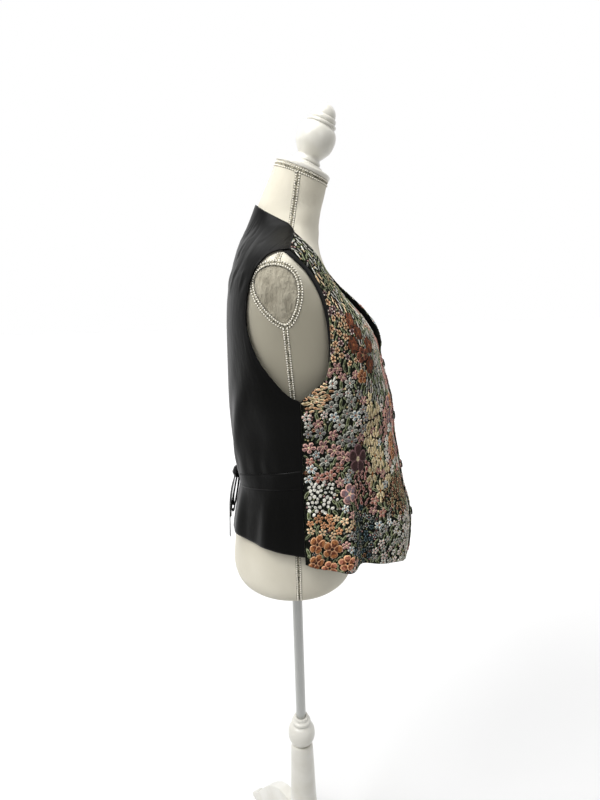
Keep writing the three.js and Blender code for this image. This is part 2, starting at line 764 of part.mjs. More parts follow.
function beltSheet(side, out) {
  return sheetOf([-1, 0, 1], range(0, BELT.steps), (step, up) => {
    const along = step / BELT.steps;
    const height = mix(BELT.seamZ, BELT.knotZ, along ** 1.4) + up * mix(BELT.seamHalf, BELT.knotHalf, along);
    const angle = mix(angleAtY(SIDE_SEAM_Y + 2, height), CENTRE_BACK + BELT_END, along);
    return vestPoint(side === "left" ? Math.PI - angle : angle, height, out);
  });
}

["right", "left"].forEach((side) => {
  const under = satinOut + BELT.clearance;
  addPiece(`belt_${side}`, "satin", wall(beltSheet(side, under + BELT_WALL), beltSheet(side, under)));
});

const knot = addPiece("belt_knot", "satin", turned(range(0, 8).map((k) => {
  const angle = (k / 8) * Math.PI - Math.PI / 2;
  return [k % 8 === 0 ? 0 : Math.cos(angle), Math.sin(angle)];
}), 14));
knot.scale.set(KNOT.x, KNOT.y, KNOT.z);
knot.position.copy(knotCentre);

// Limp loops and ends of the bow hang from the knot. Each row is [x, y, z] from its underside.
const BOW_WIDTH = 12;
const underKnot = knotCentre.clone().add(new THREE.Vector3(0, 0, -KNOT.z - SEAM_GAP));
const BOW_RIBBONS = {
  bow_loop: [
    [-6.8, -2.5, 0.4],
    [-9, 0.5, -20],
    [-12, 5, -42],
    [-13, 8.5, -57],
    [-13, 12, -58],
    [-12, 11.5, -45],
    [-9, 6.5, -22],
    [-6.8, 1.2, 0.4],
  ],
  tie_end: [
    [-6.8, 4.8, 2.2],
    [-8, 11, -26],
    [-9, 16.5, -66],
    [-9, 19, -110],
  ],
};
const LEFT_TIE_SHARE = 0.76;

Object.entries(BOW_RIBBONS).forEach(([name, rows]) => {
  ["right", "left"].forEach((side) => {
    const toSide = side === "left" ? -1 : 1;
    const length = side === "left" && name === "tie_end" ? LEFT_TIE_SHARE : 1;
    const path = rows.map(([x, y, z]) => [
      x * toSide,
      underKnot.y + y,
      underKnot.z + (z < 0 ? z * length : z),
    ]);
    const steps = name === "bow_loop" ? 18 : 9;
    addPiece(`${name}_${side}`, "satin", ribbon(path, [1, 0.15 * toSide, 0], BOW_WIDTH, BELT_WALL, steps));
  });
});

export default root;
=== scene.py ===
import math
import random

import bpy
import numpy as np
from mathutils import Matrix, Vector


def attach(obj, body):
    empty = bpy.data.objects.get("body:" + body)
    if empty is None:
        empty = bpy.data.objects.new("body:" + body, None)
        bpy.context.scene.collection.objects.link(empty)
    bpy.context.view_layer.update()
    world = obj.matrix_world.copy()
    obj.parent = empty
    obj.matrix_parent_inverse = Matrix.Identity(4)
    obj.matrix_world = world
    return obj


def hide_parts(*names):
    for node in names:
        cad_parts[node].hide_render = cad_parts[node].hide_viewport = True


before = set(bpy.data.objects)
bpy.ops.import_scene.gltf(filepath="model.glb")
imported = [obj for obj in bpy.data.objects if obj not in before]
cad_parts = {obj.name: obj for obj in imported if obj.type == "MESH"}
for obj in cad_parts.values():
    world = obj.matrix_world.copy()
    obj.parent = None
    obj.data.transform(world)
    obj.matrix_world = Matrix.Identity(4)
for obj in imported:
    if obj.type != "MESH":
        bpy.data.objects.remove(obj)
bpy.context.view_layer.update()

# ---- Camera ----
# It stands at the wearer's right, level with the shoulder. It looks across the side seam and down
# by a sixth of a right angle, and is held a little askew.
CAMERA_PLACE = (-0.970, 0.0413, 1.368)
CAMERA_PITCH = math.radians(15)
CAMERA_ROLL = math.radians(1.63)
CAMERA_SENSOR = 36
CAMERA_LENS = 26.0

camera_data = bpy.data.cameras.new("camera")
camera_data.sensor_fit = "VERTICAL"
camera_data.sensor_height = CAMERA_SENSOR
camera_data.lens = CAMERA_LENS
camera = bpy.data.objects.new("camera", camera_data)
bpy.context.scene.collection.objects.link(camera)
ahead = Vector((math.cos(CAMERA_PITCH), 0, -math.sin(CAMERA_PITCH)))
level_right = Vector((0, -1, 0))
level_up = Vector((math.sin(CAMERA_PITCH), 0, math.cos(CAMERA_PITCH)))
right = math.cos(CAMERA_ROLL) * level_right - math.sin(CAMERA_ROLL) * level_up
up = math.sin(CAMERA_ROLL) * level_right + math.cos(CAMERA_ROLL) * level_up
turned = Matrix((right, up, -ahead)).transposed().to_4x4()
camera.matrix_world = Matrix.Translation(CAMERA_PLACE) @ turned
bpy.context.scene.camera = camera

# ---- Floor and studio light ----
# A wide pale floor meets a white backdrop at the wearer's left, where it is lightest and glows a
# little, so that no edge shows. The rest of the studio is dimmer. A big soft lamp hangs behind
# the wearer's right shoulder, one overhead and a weak one in front.
FLOOR_HALF = 9.0
FLOOR_RAMPS = {  # socket: metres to the wearer's left, and the values there
    "Base Color": ((-0.6, 0.2), (0.5, 0.8)),
    "Emission Strength": ((0.0, 2.6), (0.0, 0.52)),
}
BACKDROP_RAMP = ((-0.35, 0.6), (0.26, 1.0))
LAMPS = {
    "key_lamp": {"place": (-1.5, 2.0, 3.3), "aim": (0, 0.05, 1.15), "size": 1.4, "watts": 62},
    "top_lamp": {"place": (-0.7, 0.6, 3.8), "aim": (0, 0, 0.6), "size": 2.4, "watts": 84},
    "fill_lamp": {"place": (-2.6, -1.2, 1.9), "aim": (0, 0, 1.1), "size": 1.6, "watts": 10},
}
bpy.context.scene.view_settings.view_transform = "Standard"

bpy.ops.object.select_all(action="DESELECT")
bpy.ops.mesh.primitive_plane_add(size=2 * FLOOR_HALF, location=(0, 0, 0))
floor = bpy.context.object
floor.name = "floor"


def new_finish(name, colour, roughness):
    finish = bpy.data.materials.new(name)
    finish.use_nodes = True
    shader = finish.node_tree.nodes["Principled BSDF"]
    shader.inputs["Base Color"].default_value = (*colour, 1)
    shader.inputs["Roughness"].default_value = roughness
    return finish, finish.node_tree, shader


def set_ramp(ramp, ends, values):
    """Runs a ramp from one value to the other between two ends."""
    ramp.inputs["From Min"].default_value, ramp.inputs["From Max"].default_value = ends
    ramp.inputs["To Min"].default_value, ramp.inputs["To Max"].default_value = values


floor_finish, floor_tree, floor_shader = new_finish("pale_floor", (0.9, 0.9, 0.89), 0.6)
floor_place = floor_tree.nodes.new("ShaderNodeTexCoord")
floor_split = floor_tree.nodes.new("ShaderNodeSeparateXYZ")
floor_tree.links.new(floor_place.outputs["Object"], floor_split.inputs[0])
for socket, ramp in FLOOR_RAMPS.items():
    floor_ramp = floor_tree.nodes.new("ShaderNodeMapRange")
    set_ramp(floor_ramp, *ramp)
    floor_tree.links.new(floor_split.outputs["X"], floor_ramp.inputs["Value"])
    floor_tree.links.new(floor_ramp.outputs[0], floor_shader.inputs[socket])
floor_shader.inputs["Emission Color"].default_value = (1, 1, 1, 1)
floor.data.materials.append(floor_finish)

surround = bpy.data.worlds.new("surround")
surround.use_nodes = True
sky = surround.node_tree
direction = sky.nodes.new("ShaderNodeTexCoord")
split = sky.nodes.new("ShaderNodeSeparateXYZ")
fade = sky.nodes.new("ShaderNodeMapRange")
set_ramp(fade, *BACKDROP_RAMP)
sky.links.new(direction.outputs["Generated"], split.inputs[0])
sky.links.new(split.outputs["X"], fade.inputs["Value"])
sky.links.new(fade.outputs[0], sky.nodes["Background"].inputs["Strength"])
sky.nodes["Background"].inputs["Color"].default_value = (1, 1, 1, 1)
bpy.context.scene.world = surround

for name, lamp in LAMPS.items():
    lamp_data = bpy.data.lights.new(name, "AREA")
    lamp_data.energy = lamp["watts"]
    lamp_data.size = lamp["size"]
    lamp_object = bpy.data.objects.new(name, lamp_data)
    bpy.context.scene.collection.objects.link(lamp_object)
    lamp_object.location = lamp["place"]
    towards = Vector(lamp["aim"]) - Vector(lamp["place"])
    lamp_object.rotation_euler = towards.to_track_quat("-Z", "Y").to_euler()

# ---- Stand: turned post and ball ----
# Both are turned from wood, bored for the pole and painted off-white. Their faces are run from a
# ring that is drawn up and resized again and again, as the cutter moves along the blank.
MM = 0.001
POLE_Y = 57.30 * MM  # the pole stands this far behind the middle of the floor under the stand
TURNED_SIDES = 72
TURNED_STEPS = 4  # smooth rings from one row of a profile to the next
TURNED_CREASE = math.radians(50)
POST_PROFILE = [
    (16, 74),
    (23, 78),
    (28, 86),
    (30, 97),
    (30, 194),
    (29, 199),
    (27.5, 205),
    (27.5, 229),
    (27, 233),
    (22.6, 366),
    (21.5, 373),
    (19, 377),
    (9.9, 377),
]
BALL_PROFILE = [
    (9.9, 379),
    (14, 379.3),
    (21, 384),
    (26, 393),
    (27, 403),
    (26, 413),
    (21, 422),
    (17, 426),
    (18.5, 429),
    (18.7, 434),
    (15, 437),
    (14, 443),
    (9.9, 443),
]


def smooth_table(rows):
    """Reads rows that rise in their first column as smooth curves of it."""
    table = np.array(rows, dtype=float)
    keys, values = table[:, 0], table[:, 1:]
    place = np.arange(len(keys))
    before, after = np.maximum(place - 1, 0), np.minimum(place + 1, len(keys) - 1)
    slopes = (values[after] - values[before]) / (keys[after] - keys[before])[:, None]

    def read(key):
        key = np.clip(np.asarray(key, dtype=float), keys[0], keys[-1])
        low = np.clip(np.searchsorted(keys, key, side="right") - 1, 0, len(keys) - 2)
        span = (keys[low + 1] - keys[low])[..., None]
        t = (key - keys[low])[..., None] / span
        answer = (
            values[low] * (1 + 2 * t) * (1 - t) ** 2
            + values[low + 1] * t * t * (3 - 2 * t)
            + slopes[low] * span * t * (1 - t) ** 2
            - slopes[low + 1] * span * t * t * (1 - t)
        )
        return np.moveaxis(answer, -1, 0)

    return read


def rounded_profile(rows, steps):
    """The profile's points with steps smooth points from each one to the next."""
    points = np.array(rows, dtype=float)
    along = np.concatenate([[0], np.cumsum(np.linalg.norm(np.diff(points, axis=0), axis=1))])
    read = smooth_table(np.column_stack([along, points]))
    keys = [
        along[k] + (along[k + 1] - along[k]) * step / steps
        for k in range(len(rows) - 1)
        for step in range(steps)
    ]
    return np.column_stack(read(np.array([*keys, along[-1]]))).tolist()


def turned_piece(name, profile, bored):
    """A ring is drawn along the profile, rows of radius and height in millimetres."""
    rows = rounded_profile(profile, TURNED_STEPS)
    bpy.ops.object.select_all(action="DESELECT")
    radius, height = rows[0]
    bpy.ops.mesh.primitive_circle_add(
        vertices=TURNED_SIDES,
        radius=radius * MM,
        fill_type="NOTHING" if bored else "TRIFAN",
        location=(0, 0, height * MM),
    )
    piece = bpy.context.object
    piece.name = name
    bpy.ops.object.transform_apply()
    bpy.ops.object.mode_set(mode="EDIT")
    if not bored:
        bpy.ops.mesh.select_all(action="DESELECT")
        bpy.ops.mesh.select_non_manifold()
    for (r, z), (next_r, next_z) in zip(rows, rows[1:]):
        bpy.ops.mesh.extrude_region_move(TRANSFORM_OT_translate={"value": (0, 0, (next_z - z) * MM)})
        share = next_r / r
        bpy.ops.transform.resize(value=(share, share, 1), center_override=(0, 0, next_z * MM))
    if not bored:
        bpy.ops.mesh.edge_face_add()
        bpy.ops.mesh.poke()
    bpy.ops.mesh.select_all(action="SELECT")
    bpy.ops.mesh.normals_make_consistent(inside=False)
    bpy.ops.object.mode_set(mode="OBJECT")
    bpy.ops.object.shade_smooth_by_angle(angle=TURNED_CREASE)
    return piece


def node(tree, kind, settings=(), **inputs):
    """A new shader node with its settings, and with values or other nodes' sockets in its inputs."""
    made = tree.nodes.new(kind)
    for key, value in dict(settings).items():
        setattr(made, key, value)
    for key, value in inputs.items():
        socket = made.inputs[int(key[1:]) if key[0] == "i" and key[1:].isdigit() else key.replace("_", " ")]
        if isinstance(value, bpy.types.NodeSocket):
            tree.links.new(value, socket)
        else:
            socket.default_value = value
    return made


def grain(tree, where, detail, scale=1.0, stretch=None, **more):
    """Noise on a surface, drawn out along threads, brush strokes or scratches by stretch."""
    if stretch:
        where = node(tree, "ShaderNodeMapping", Vector=where, Scale=stretch).outputs[0]
    return node(tree, "ShaderNodeTexNoise", Vector=where, Scale=scale, Detail=detail, **more).outputs["Fac"]


def tones(tree, amount, first, last, *middle):
    """Colours blended by an amount from 0 to 1. Each stop is its place and its colour."""
    blend = node(tree, "ShaderNodeValToRGB", Fac=amount)
    stops = blend.color_ramp.elements
    for stop, (place, colour) in zip(stops, (first, last)):
        stop.position, stop.color = place, (*colour, 1)
    for place, colour in middle:
        stops.new(place).color = (*colour, 1)
    return blend.outputs["Color"]


def relief(tree, shader, height, strength, distance):
    """Raises a finish's surface, on top of the relief that it already has."""
    bump = node(tree, "ShaderNodeBump", Height=height, Strength=strength, Distance=distance)
    for under in [link.from_socket for link in shader.inputs["Normal"].links]:
        tree.links.new(under, bump.inputs["Normal"])
    tree.links.new(bump.outputs["Normal"], shader.inputs["Normal"])


def painted_wood():
    """Thick off-white paint with brush drag, faint mottling and a soft gloss."""
    finish, tree, shader = new_finish("painted_wood", (0.70, 0.68, 0.62), 0.3)
    where = node(tree, "ShaderNodeTexCoord").outputs["Object"]
    mottle = grain(tree, where, 4.0, 22.0)
    tone = tones(tree, mottle, (0.3, (0.63, 0.61, 0.54)), (0.65, (0.72, 0.705, 0.65)))
    tree.links.new(tone, shader.inputs["Base Color"])
    relief(tree, shader, grain(tree, where, 3.0, stretch=(90, 90, 420)), 0.18, 0.0006)
    shader.inputs["Coat Weight"].default_value = 0.25
    shader.inputs["Coat Roughness"].default_value = 0.2
    return finish


wood_paint = painted_wood()
for name, profile in {"turned_post": POST_PROFILE, "turned_ball": BALL_PROFILE}.items():
    piece = turned_piece(name, profile, bored=True)
    piece.data.transform(Matrix.Translation((0, POLE_Y, 0)))
    piece.data.materials.append(wood_paint)
    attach(piece, "root")
    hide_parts("stand_post" if name == "turned_post" else "stand_ball")

# ---- Stand: three sawn legs ----
# Each leg is sawn from one board, bowed from the post to a foot with a flat sole. Its edges are
# rounded over, and it is fixed to the post with hidden dowels and painted with it.
LEG_HALF_THICKNESS = 12
LEG_STATIONS = [  # reach from the pole, under edge, upper edge
    (30.4, 108, 186),
    (48, 101, 184),
    (70, 89, 179),
    (95, 74, 169),
    (120, 58, 153),
    (145, 41, 130),
    (170, 25, 102),
    (192, 11, 74),
    (210, 0, 47),
    (230, 0, 24),
    (243, 0, 15),
    (249, 0, 8),
]
LEGS = {"leg_front": -90, "leg_back_left": 30, "leg_back_right": 150}
LEG_ROUNDING = 2.2


def round_over(piece, width, segments, sharpest):
    """Rounds the edges that are sharper than an angle in degrees, and smooths the faces."""
    rounding = piece.modifiers.new("rounding", "BEVEL")
    rounding.width = width * MM
    rounding.segments = segments
    rounding.limit_method = "ANGLE"
    rounding.angle_limit = math.radians(sharpest)
    bpy.ops.object.modifier_apply(modifier="rounding")
    bpy.ops.object.shade_smooth_by_angle(angle=math.radians(40))


bpy.ops.object.select_all(action="DESELECT")
first = LEG_STATIONS[0]
bpy.ops.mesh.primitive_plane_add(size=1, location=(0, 0, 0), rotation=(0, math.pi / 2, 0))
leg = bpy.context.object
bpy.ops.object.transform_apply()
bpy.ops.object.mode_set(mode="EDIT")
bpy.ops.mesh.select_all(action="SELECT")
bpy.ops.transform.resize(value=(1, 2 * LEG_HALF_THICKNESS * MM, (first[2] - first[1]) * MM))
bpy.ops.transform.translate(value=(first[0] * MM, 0, (first[1] + first[2]) / 2 * MM))
for (reach, under, over), (next_reach, next_under, next_over) in zip(LEG_STATIONS, LEG_STATIONS[1:]):
    middle = (next_under + next_over) / 2
    step = ((next_reach - reach) * MM, 0, (middle - (under + over) / 2) * MM)
    bpy.ops.mesh.extrude_region_move(TRANSFORM_OT_translate={"value": step})
    share = (next_over - next_under) / (over - under)
    bpy.ops.transform.resize(value=(1, 1, share), center_override=(0, 0, middle * MM))
bpy.ops.mesh.select_all(action="SELECT")
bpy.ops.mesh.normals_make_consistent(inside=False)
bpy.ops.object.mode_set(mode="OBJECT")
leg.data.polygons.foreach_set("select", [True] * len(leg.data.polygons))
round_over(leg, LEG_ROUNDING, 3, 50)

for name, degrees in LEGS.items():
    sawn = bpy.data.objects.new(f"sawn_{name}", leg.data.copy())
    bpy.context.scene.collection.objects.link(sawn)
    turn = Matrix.Translation((0, POLE_Y, 0)) @ Matrix.Rotation(math.radians(degrees), 4, "Z")
    sawn.data.transform(turn)
    sawn.data.materials.append(wood_paint)
    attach(sawn, "root")
    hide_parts(name)
bpy.data.objects.remove(leg)

# ---- Stand: pole ----
# A straight steel tube with fine lengthwise brushing. It slides down into the post, and its top
# end is hidden in the form.
POLE_RADIUS = 9.5
POLE_ENDS = (300, 864)
POLE_SIDES = 64
POLE_ROUNDING = 0.8

bpy.ops.object.select_all(action="DESELECT")
bpy.ops.mesh.primitive_cylinder_add(
    vertices=POLE_SIDES,
    radius=POLE_RADIUS * MM,
    depth=(POLE_ENDS[1] - POLE_ENDS[0]) * MM,
    location=(0, POLE_Y, sum(POLE_ENDS) / 2 * MM),
)
tube = bpy.context.object
tube.name = "steel_pole"
bpy.ops.object.transform_apply()
round_over(tube, POLE_ROUNDING, 2, 60)


def brushed_steel():
    """Light grey steel with fine scratches along the tube."""
    finish, tree, shader = new_finish("brushed_steel", (0.47, 0.475, 0.46), 0.34)
    shader.inputs["Metallic"].default_value = 0.85
    where = node(tree, "ShaderNodeTexCoord").outputs["Object"]
    relief(tree, shader, grain(tree, where, 2.0, stretch=(1400, 1400, 12)), 0.12, 0.0003)
    return finish


tube.data.materials.append(brushed_steel())
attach(tube, "root")
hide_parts("pole")

# ---- Dress form: padded torso ----
# A hollow body is padded, rounded under at the hip and covered with off-white linen. Level
# sections give its shape, and a teardrop plate closes each arm.
FORM_BOTTOM = 805
NECK_TOP = 1480
NECK_LEAN = 0.43
SHOULDER_SECTIONS = [  # height, half width, back, side, front, two powers, lean
    (1290, 164, 92, 0, -88, 2.3, 2.3, 0),
    (1320, 164, 86.5, 4, -69, 2.3, 2.15, 0),
    (1340, 158, 80.5, 4, -60, 2.3, 1.9, 0),
    (1352, 149, 76.5, 3, -56, 2.3, 1.75, 0),
    (1362, 132, 73.5, 1, -54, 2.3, 1.6, 0),
    (1372, 109, 69.5, 0, -53, 2.25, 1.5, 0),
    (1384, 82, 63.5, -4, -54, 2.2, 1.5, 0),
    (1396, 64, 57.5, -6, -54, 2.1, 1.7, 0),
    (1412, 54, 49.5, -8, -56, 2, 2, 0.02),
    (1430, 49, 40, -9, -59, 2, 2, 0.1),
]
form_section = smooth_table(
    [
        (FORM_BOTTOM, 140, 101, 0, -97, 2.2, 2.2, 0),
        (811, 147, 108, 0, -103, 2.2, 2.2, 0),
        (824, 152, 111.5, 0, -107, 2.2, 2.2, 0),
        (850, 153, 109.5, 0, -110, 2.2, 2.2, 0),
        (880, 151, 105.5, 0, -111, 2.2, 2.2, 0),
        (920, 143, 97, -2, -108, 2.2, 2.2, 0),
        (960, 130, 84, -5, -102, 2.2, 2.2, 0),
        (1000, 118, 75, -8, -97, 2.2, 2.2, 0),
        (1030, 116, 74, -8, -97, 2.2, 2.2, 0),
        (1070, 122, 79, -8, -103, 2.2, 2.2, 0),
        (1110, 131, 87, -8, -114, 2.2, 2.2, 0),
        (1149, 140, 91, -8, -125, 2.2, 2.2, 0),
        (1185, 147, 94.5, -8, -130, 2.25, 2.25, 0),
        (1220, 153, 96, -6, -124, 2.3, 2.3, 0),
        (1260, 160, 94.5, -3, -106, 2.3, 2.3, 0),
        *SHOULDER_SECTIONS,
        (1455, 46, 24, -20, -64, 2, 2, 0.28),
        (NECK_TOP, 43.5, 10, -29.5, -69, 2, 2, NECK_LEAN),
    ]
)
BUST = {"x": 72, "z": 1180, "across": 42, "tall": 48, "depth": 9}
FORM_SIDES = 176
FORM_STEP = 4.0
FORM_TURN = (0, 1, 3, 6, 10, 15)  # close rows where the hip turns under
FORM_FIRST_ROW = 824
ARM_PLATE = {"y": 15, "shift": -13, "top": 1346, "foot": 1258, "half": 41}  # a teardrop from the side
PLATE_EDGE = 4
PLATE_SUNK = 1.2
PLATE_FROM_X = 100
POLE_HOLE = {"radius": 9.9, "depth": 60}
# Painted shade on the sides under the arms: the heights where it rises, holds and fades, where it starts
# out from the middle, how far it grows, and its strength.
UNDERARM_SHADE = {"heights": (1020, 1120, 1310, 1352), "from_x": 60, "reach": 50, "most": 0.85}


def bell(offset, width):
    return np.exp(-((offset / width) ** 2))


def signed_power(base, exponent):
    return np.sign(base) * np.abs(base) ** exponent


def section_point(section, angle, height):
    """Points on level sections, angles from the left side over the back to the front."""
    half, back, side, front, square, front_square, lean = section(height)
    behind = np.sin(angle) > 0
    depth = np.where(behind, back - side, side - front)
    rounding = 2 / np.where(behind, square, front_square)
    y = side + depth * signed_power(np.sin(angle), rounding)
    x = half * signed_power(np.cos(angle), rounding)
    return np.stack([x, y, height + lean * (y - side)], axis=-1)


def form_point(angle, height):
    point = section_point(form_section, angle, height)
    cup = bell(np.abs(point[..., 0]) - BUST["x"], BUST["across"])
    cup = cup * bell(point[..., 2] - BUST["z"], BUST["tall"])
    point[..., 1] += BUST["depth"] * cup * np.minimum(np.sin(angle), 0)
    return point


def normals_of(point_at, angle, height):
    around = point_at(angle + 0.03, height) - point_at(angle - 0.03, height)
    upward = point_at(angle, height + 2) - point_at(angle, height - 2)
    normal = np.cross(around, upward)
    return normal / np.linalg.norm(normal, axis=-1, keepdims=True)


def placed(points):
    """Millimetres round the pole, as metres in the model's frame."""
    moved = np.asarray(points, dtype=float) * MM
    return moved + np.array([0, POLE_Y, 0])


def new_mesh_piece(name, points, faces, finish, smooth=True):
    mesh = bpy.data.meshes.new(name)
    mesh.from_pydata(placed(points).reshape(-1, 3).tolist(), [], faces)
    mesh.update()
    if smooth:
        mesh.polygons.foreach_set("use_smooth", [True] * len(mesh.polygons))
    piece = bpy.data.objects.new(name, mesh)
    bpy.context.scene.collection.objects.link(piece)
    mesh.materials.append(finish)
    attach(piece, "root")
    return piece


def grid_faces(rows, columns, ring):
    """Quads over rows of points, closed round each row if ring is true."""
    faces = []
    for row in range(rows - 1):
        for column in range(columns if ring else columns - 1):
            beside = (column + 1) % columns
            low, high = row * columns, (row + 1) * columns
            faces.append((low + column, low + beside, high + beside, high + column))
    return faces


def plate_half(share):
    """Half the teardrop's width, from its pointed foot at 0 to its round top at 1."""
    return ARM_PLATE["half"] * np.sqrt(share * (1 - share) * 4 * (0.25 + 0.75 * share))


def plate_middle(share):
    return ARM_PLATE["y"] + ARM_PLATE["shift"] * (1 - share) ** 2


def in_plate(point):
    """How far inside the teardrop a side point lies, from 0 outside to 1 inside."""
    share = np.clip((point[..., 2] - ARM_PLATE["foot"]) / (ARM_PLATE["top"] - ARM_PLATE["foot"]), 0, 1)
    inside = plate_half(share) - np.abs(point[..., 1] - plate_middle(share))
    on_side = (share > 0) * (share < 1) * (np.abs(point[..., 0]) > PLATE_FROM_X)
    return np.clip(inside / PLATE_EDGE, 0, 1) * on_side


form_heights = np.concatenate(
    [FORM_BOTTOM + np.array(FORM_TURN), np.arange(FORM_FIRST_ROW, NECK_TOP, FORM_STEP), [NECK_TOP]]
)
form_angles = np.arange(FORM_SIDES) / FORM_SIDES * 2 * math.pi
angle_grid, height_grid = np.meshgrid(form_angles, form_heights)
form_points = form_point(angle_grid, height_grid)
plate_share = in_plate(form_points)
form_normals = normals_of(form_point, angle_grid, height_grid)
form_points = form_points - form_normals * (PLATE_SUNK * plate_share)[..., None]
torso_points = np.concatenate([form_points.reshape(-1, 3), [form_points[-1].mean(axis=0)]])
torso_faces = grid_faces(len(form_heights), FORM_SIDES, True)
top_start = (len(form_heights) - 1) * FORM_SIDES
crown = len(torso_points) - 1
torso_faces += [(top_start + k, top_start + (k + 1) % FORM_SIDES, crown) for k in range(FORM_SIDES)]
# The underside is a board with a hole for the pole, and the hole's wall runs up inside.
hole_end = FORM_BOTTOM + POLE_HOLE["depth"]
hole_ring = [(POLE_HOLE["radius"] * math.cos(a), POLE_HOLE["radius"] * math.sin(a)) for a in form_angles]
hole = [(x, y, FORM_BOTTOM) for x, y in hole_ring]
hole_top = [(x, y, hole_end) for x, y in hole_ring]
hole_start = len(torso_points)
torso_points = np.concatenate([torso_points, hole, hole_top, [(0, 0, hole_end)]])
inner, above = hole_start, hole_start + FORM_SIDES
for k in range(FORM_SIDES):
    beside = (k + 1) % FORM_SIDES
    torso_faces.append((inner + k, inner + beside, beside, k))
    torso_faces.append((above + k, above + beside, inner + beside, inner + k))
    torso_faces.append((above + beside, above + k, above + FORM_SIDES))


def combined(tree, operation, first, second):
    return node(tree, "ShaderNodeMath", {"operation": operation}, i0=first, i1=second).outputs[0]


def waves(tree, where, bands, scale, **more):
    made = node(tree, "ShaderNodeTexWave", {"bands_direction": bands}, Vector=where, Scale=scale, **more)
    return made.outputs["Fac"]


def marked(tree, name, output="Fac"):
    """What a piece's own points or faces say under a name."""
    return node(tree, "ShaderNodeAttribute", {"attribute_name": name}).outputs[output]


def linen():
    """Off-white plain-woven linen with uneven threads, painted shade under the arms, and darker arm plates
    with painted shade in their creases.
    """
    finish, tree, shader = new_finish("form_linen", (0.72, 0.69, 0.60), 0.88)
    where = node(tree, "ShaderNodeTexCoord").outputs["Object"]
    around = waves(tree, where, "Z", 330.0, Distortion=1.5)
    weave = combined(tree, "ADD", around, waves(tree, where, "DIAGONAL", 330.0))
    threads = combined(tree, "ADD", weave, grain(tree, where, 3.0, stretch=(60, 60, 600)))
    cloud = grain(tree, where, 5.0, 7.0)
    linen_tone = tones(tree, cloud, (0.35, (0.60, 0.56, 0.455)), (0.62, (0.70, 0.665, 0.56)))
    crease = grain(tree, where, 3.0, 2.2, (26, 26, 14), Roughness=0.62)
    # The arm plates are a darker cloth. Their colour follows the crease relief and is darkest in its
    # hollows, which is painted shade.
    plate_tone_and_crease_shade = tones(tree, crease, (0.35, (0.26, 0.235, 0.175)), (0.7, (0.42, 0.385, 0.30)))
    plate, underarm_shade = marked(tree, "plate"), marked(tree, "underarm_shade")
    blended = {"data_type": "RGBA"}
    # Painted shade: the sides under the arms are blended towards a dark grey, as if in shadow.
    shaded_linen = node(tree, "ShaderNodeMix", blended, Factor=underarm_shade, i6=linen_tone, i7=(0.31, 0.285, 0.215, 1))
    both = node(tree, "ShaderNodeMix", blended, Factor=plate, i6=shaded_linen.outputs[2], i7=plate_tone_and_crease_shade)
    tree.links.new(both.outputs[2], shader.inputs["Base Color"])
    relief(tree, shader, combined(tree, "MULTIPLY", crease, plate), 1.0, 0.009)
    relief(tree, shader, threads, 0.35, 0.0003)
    shader.inputs["Sheen Weight"].default_value = 0.15
    return finish


def mark_points(piece, name, values):
    """Gives the piece's first points a value each under a name, and the rest 0."""
    own = np.zeros(len(piece.data.vertices))
    own[: values.size] = values.reshape(-1)
    piece.data.attributes.new(name, "FLOAT", "POINT").data.foreach_set("value", own)


form_linen = linen()
torso = new_mesh_piece("linen_torso", torso_points, torso_faces, form_linen)
mark_points(torso, "plate", plate_share)
# The painted shade under the arms is marked on the torso's points, on its sides only.
underarm_shade_heights = np.interp(form_points[..., 2], UNDERARM_SHADE["heights"], [0, 1, 1, 0])
underarm_shade_sides = np.clip((np.abs(form_points[..., 0]) - UNDERARM_SHADE["from_x"]) / UNDERARM_SHADE["reach"], 0, 1)
mark_points(torso, "underarm_shade", UNDERARM_SHADE["most"] * underarm_shade_heights * underarm_shade_sides)
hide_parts("form_torso")

# ---- Dress form: braided seams ----
# Two rows of chain stitch in thick cotton lie on each seam: down the neck, round the arm plates,
# down the sides and round the neck under the cap. The stitches are small fat loops on a seam
# whose needle holes and shadows show dark between them.
STITCH = {"pitch": 3.6, "long": 1.55, "wide": 1.35, "tall": 1.5, "rows": 2.7, "slant": 0.5, "seam": 3.9}
SEAM_BED = ((-1.15, -0.5), (-1, 0.12), (0, 0.12), (1, 0.12), (1.15, -0.5))  # share of the width, lift


def stitch_shape():
    """A loop as a low dome, a ring of eight points, a smaller ring and a top."""
    ring = [(math.cos(k * math.pi / 4), math.sin(k * math.pi / 4)) for k in range(8)]
    points = [(x, y, -0.3) for x, y in ring] + [(0.72 * x, 0.72 * y, 0.65) for x, y in ring]
    points.append((0, 0, 0.95))
    faces = [(k, (k + 1) % 8, 8 + (k + 1) % 8, 8 + k) for k in range(8)]
    faces += [(8 + k, 8 + (k + 1) % 8, 16) for k in range(8)]
    return np.array(points), faces


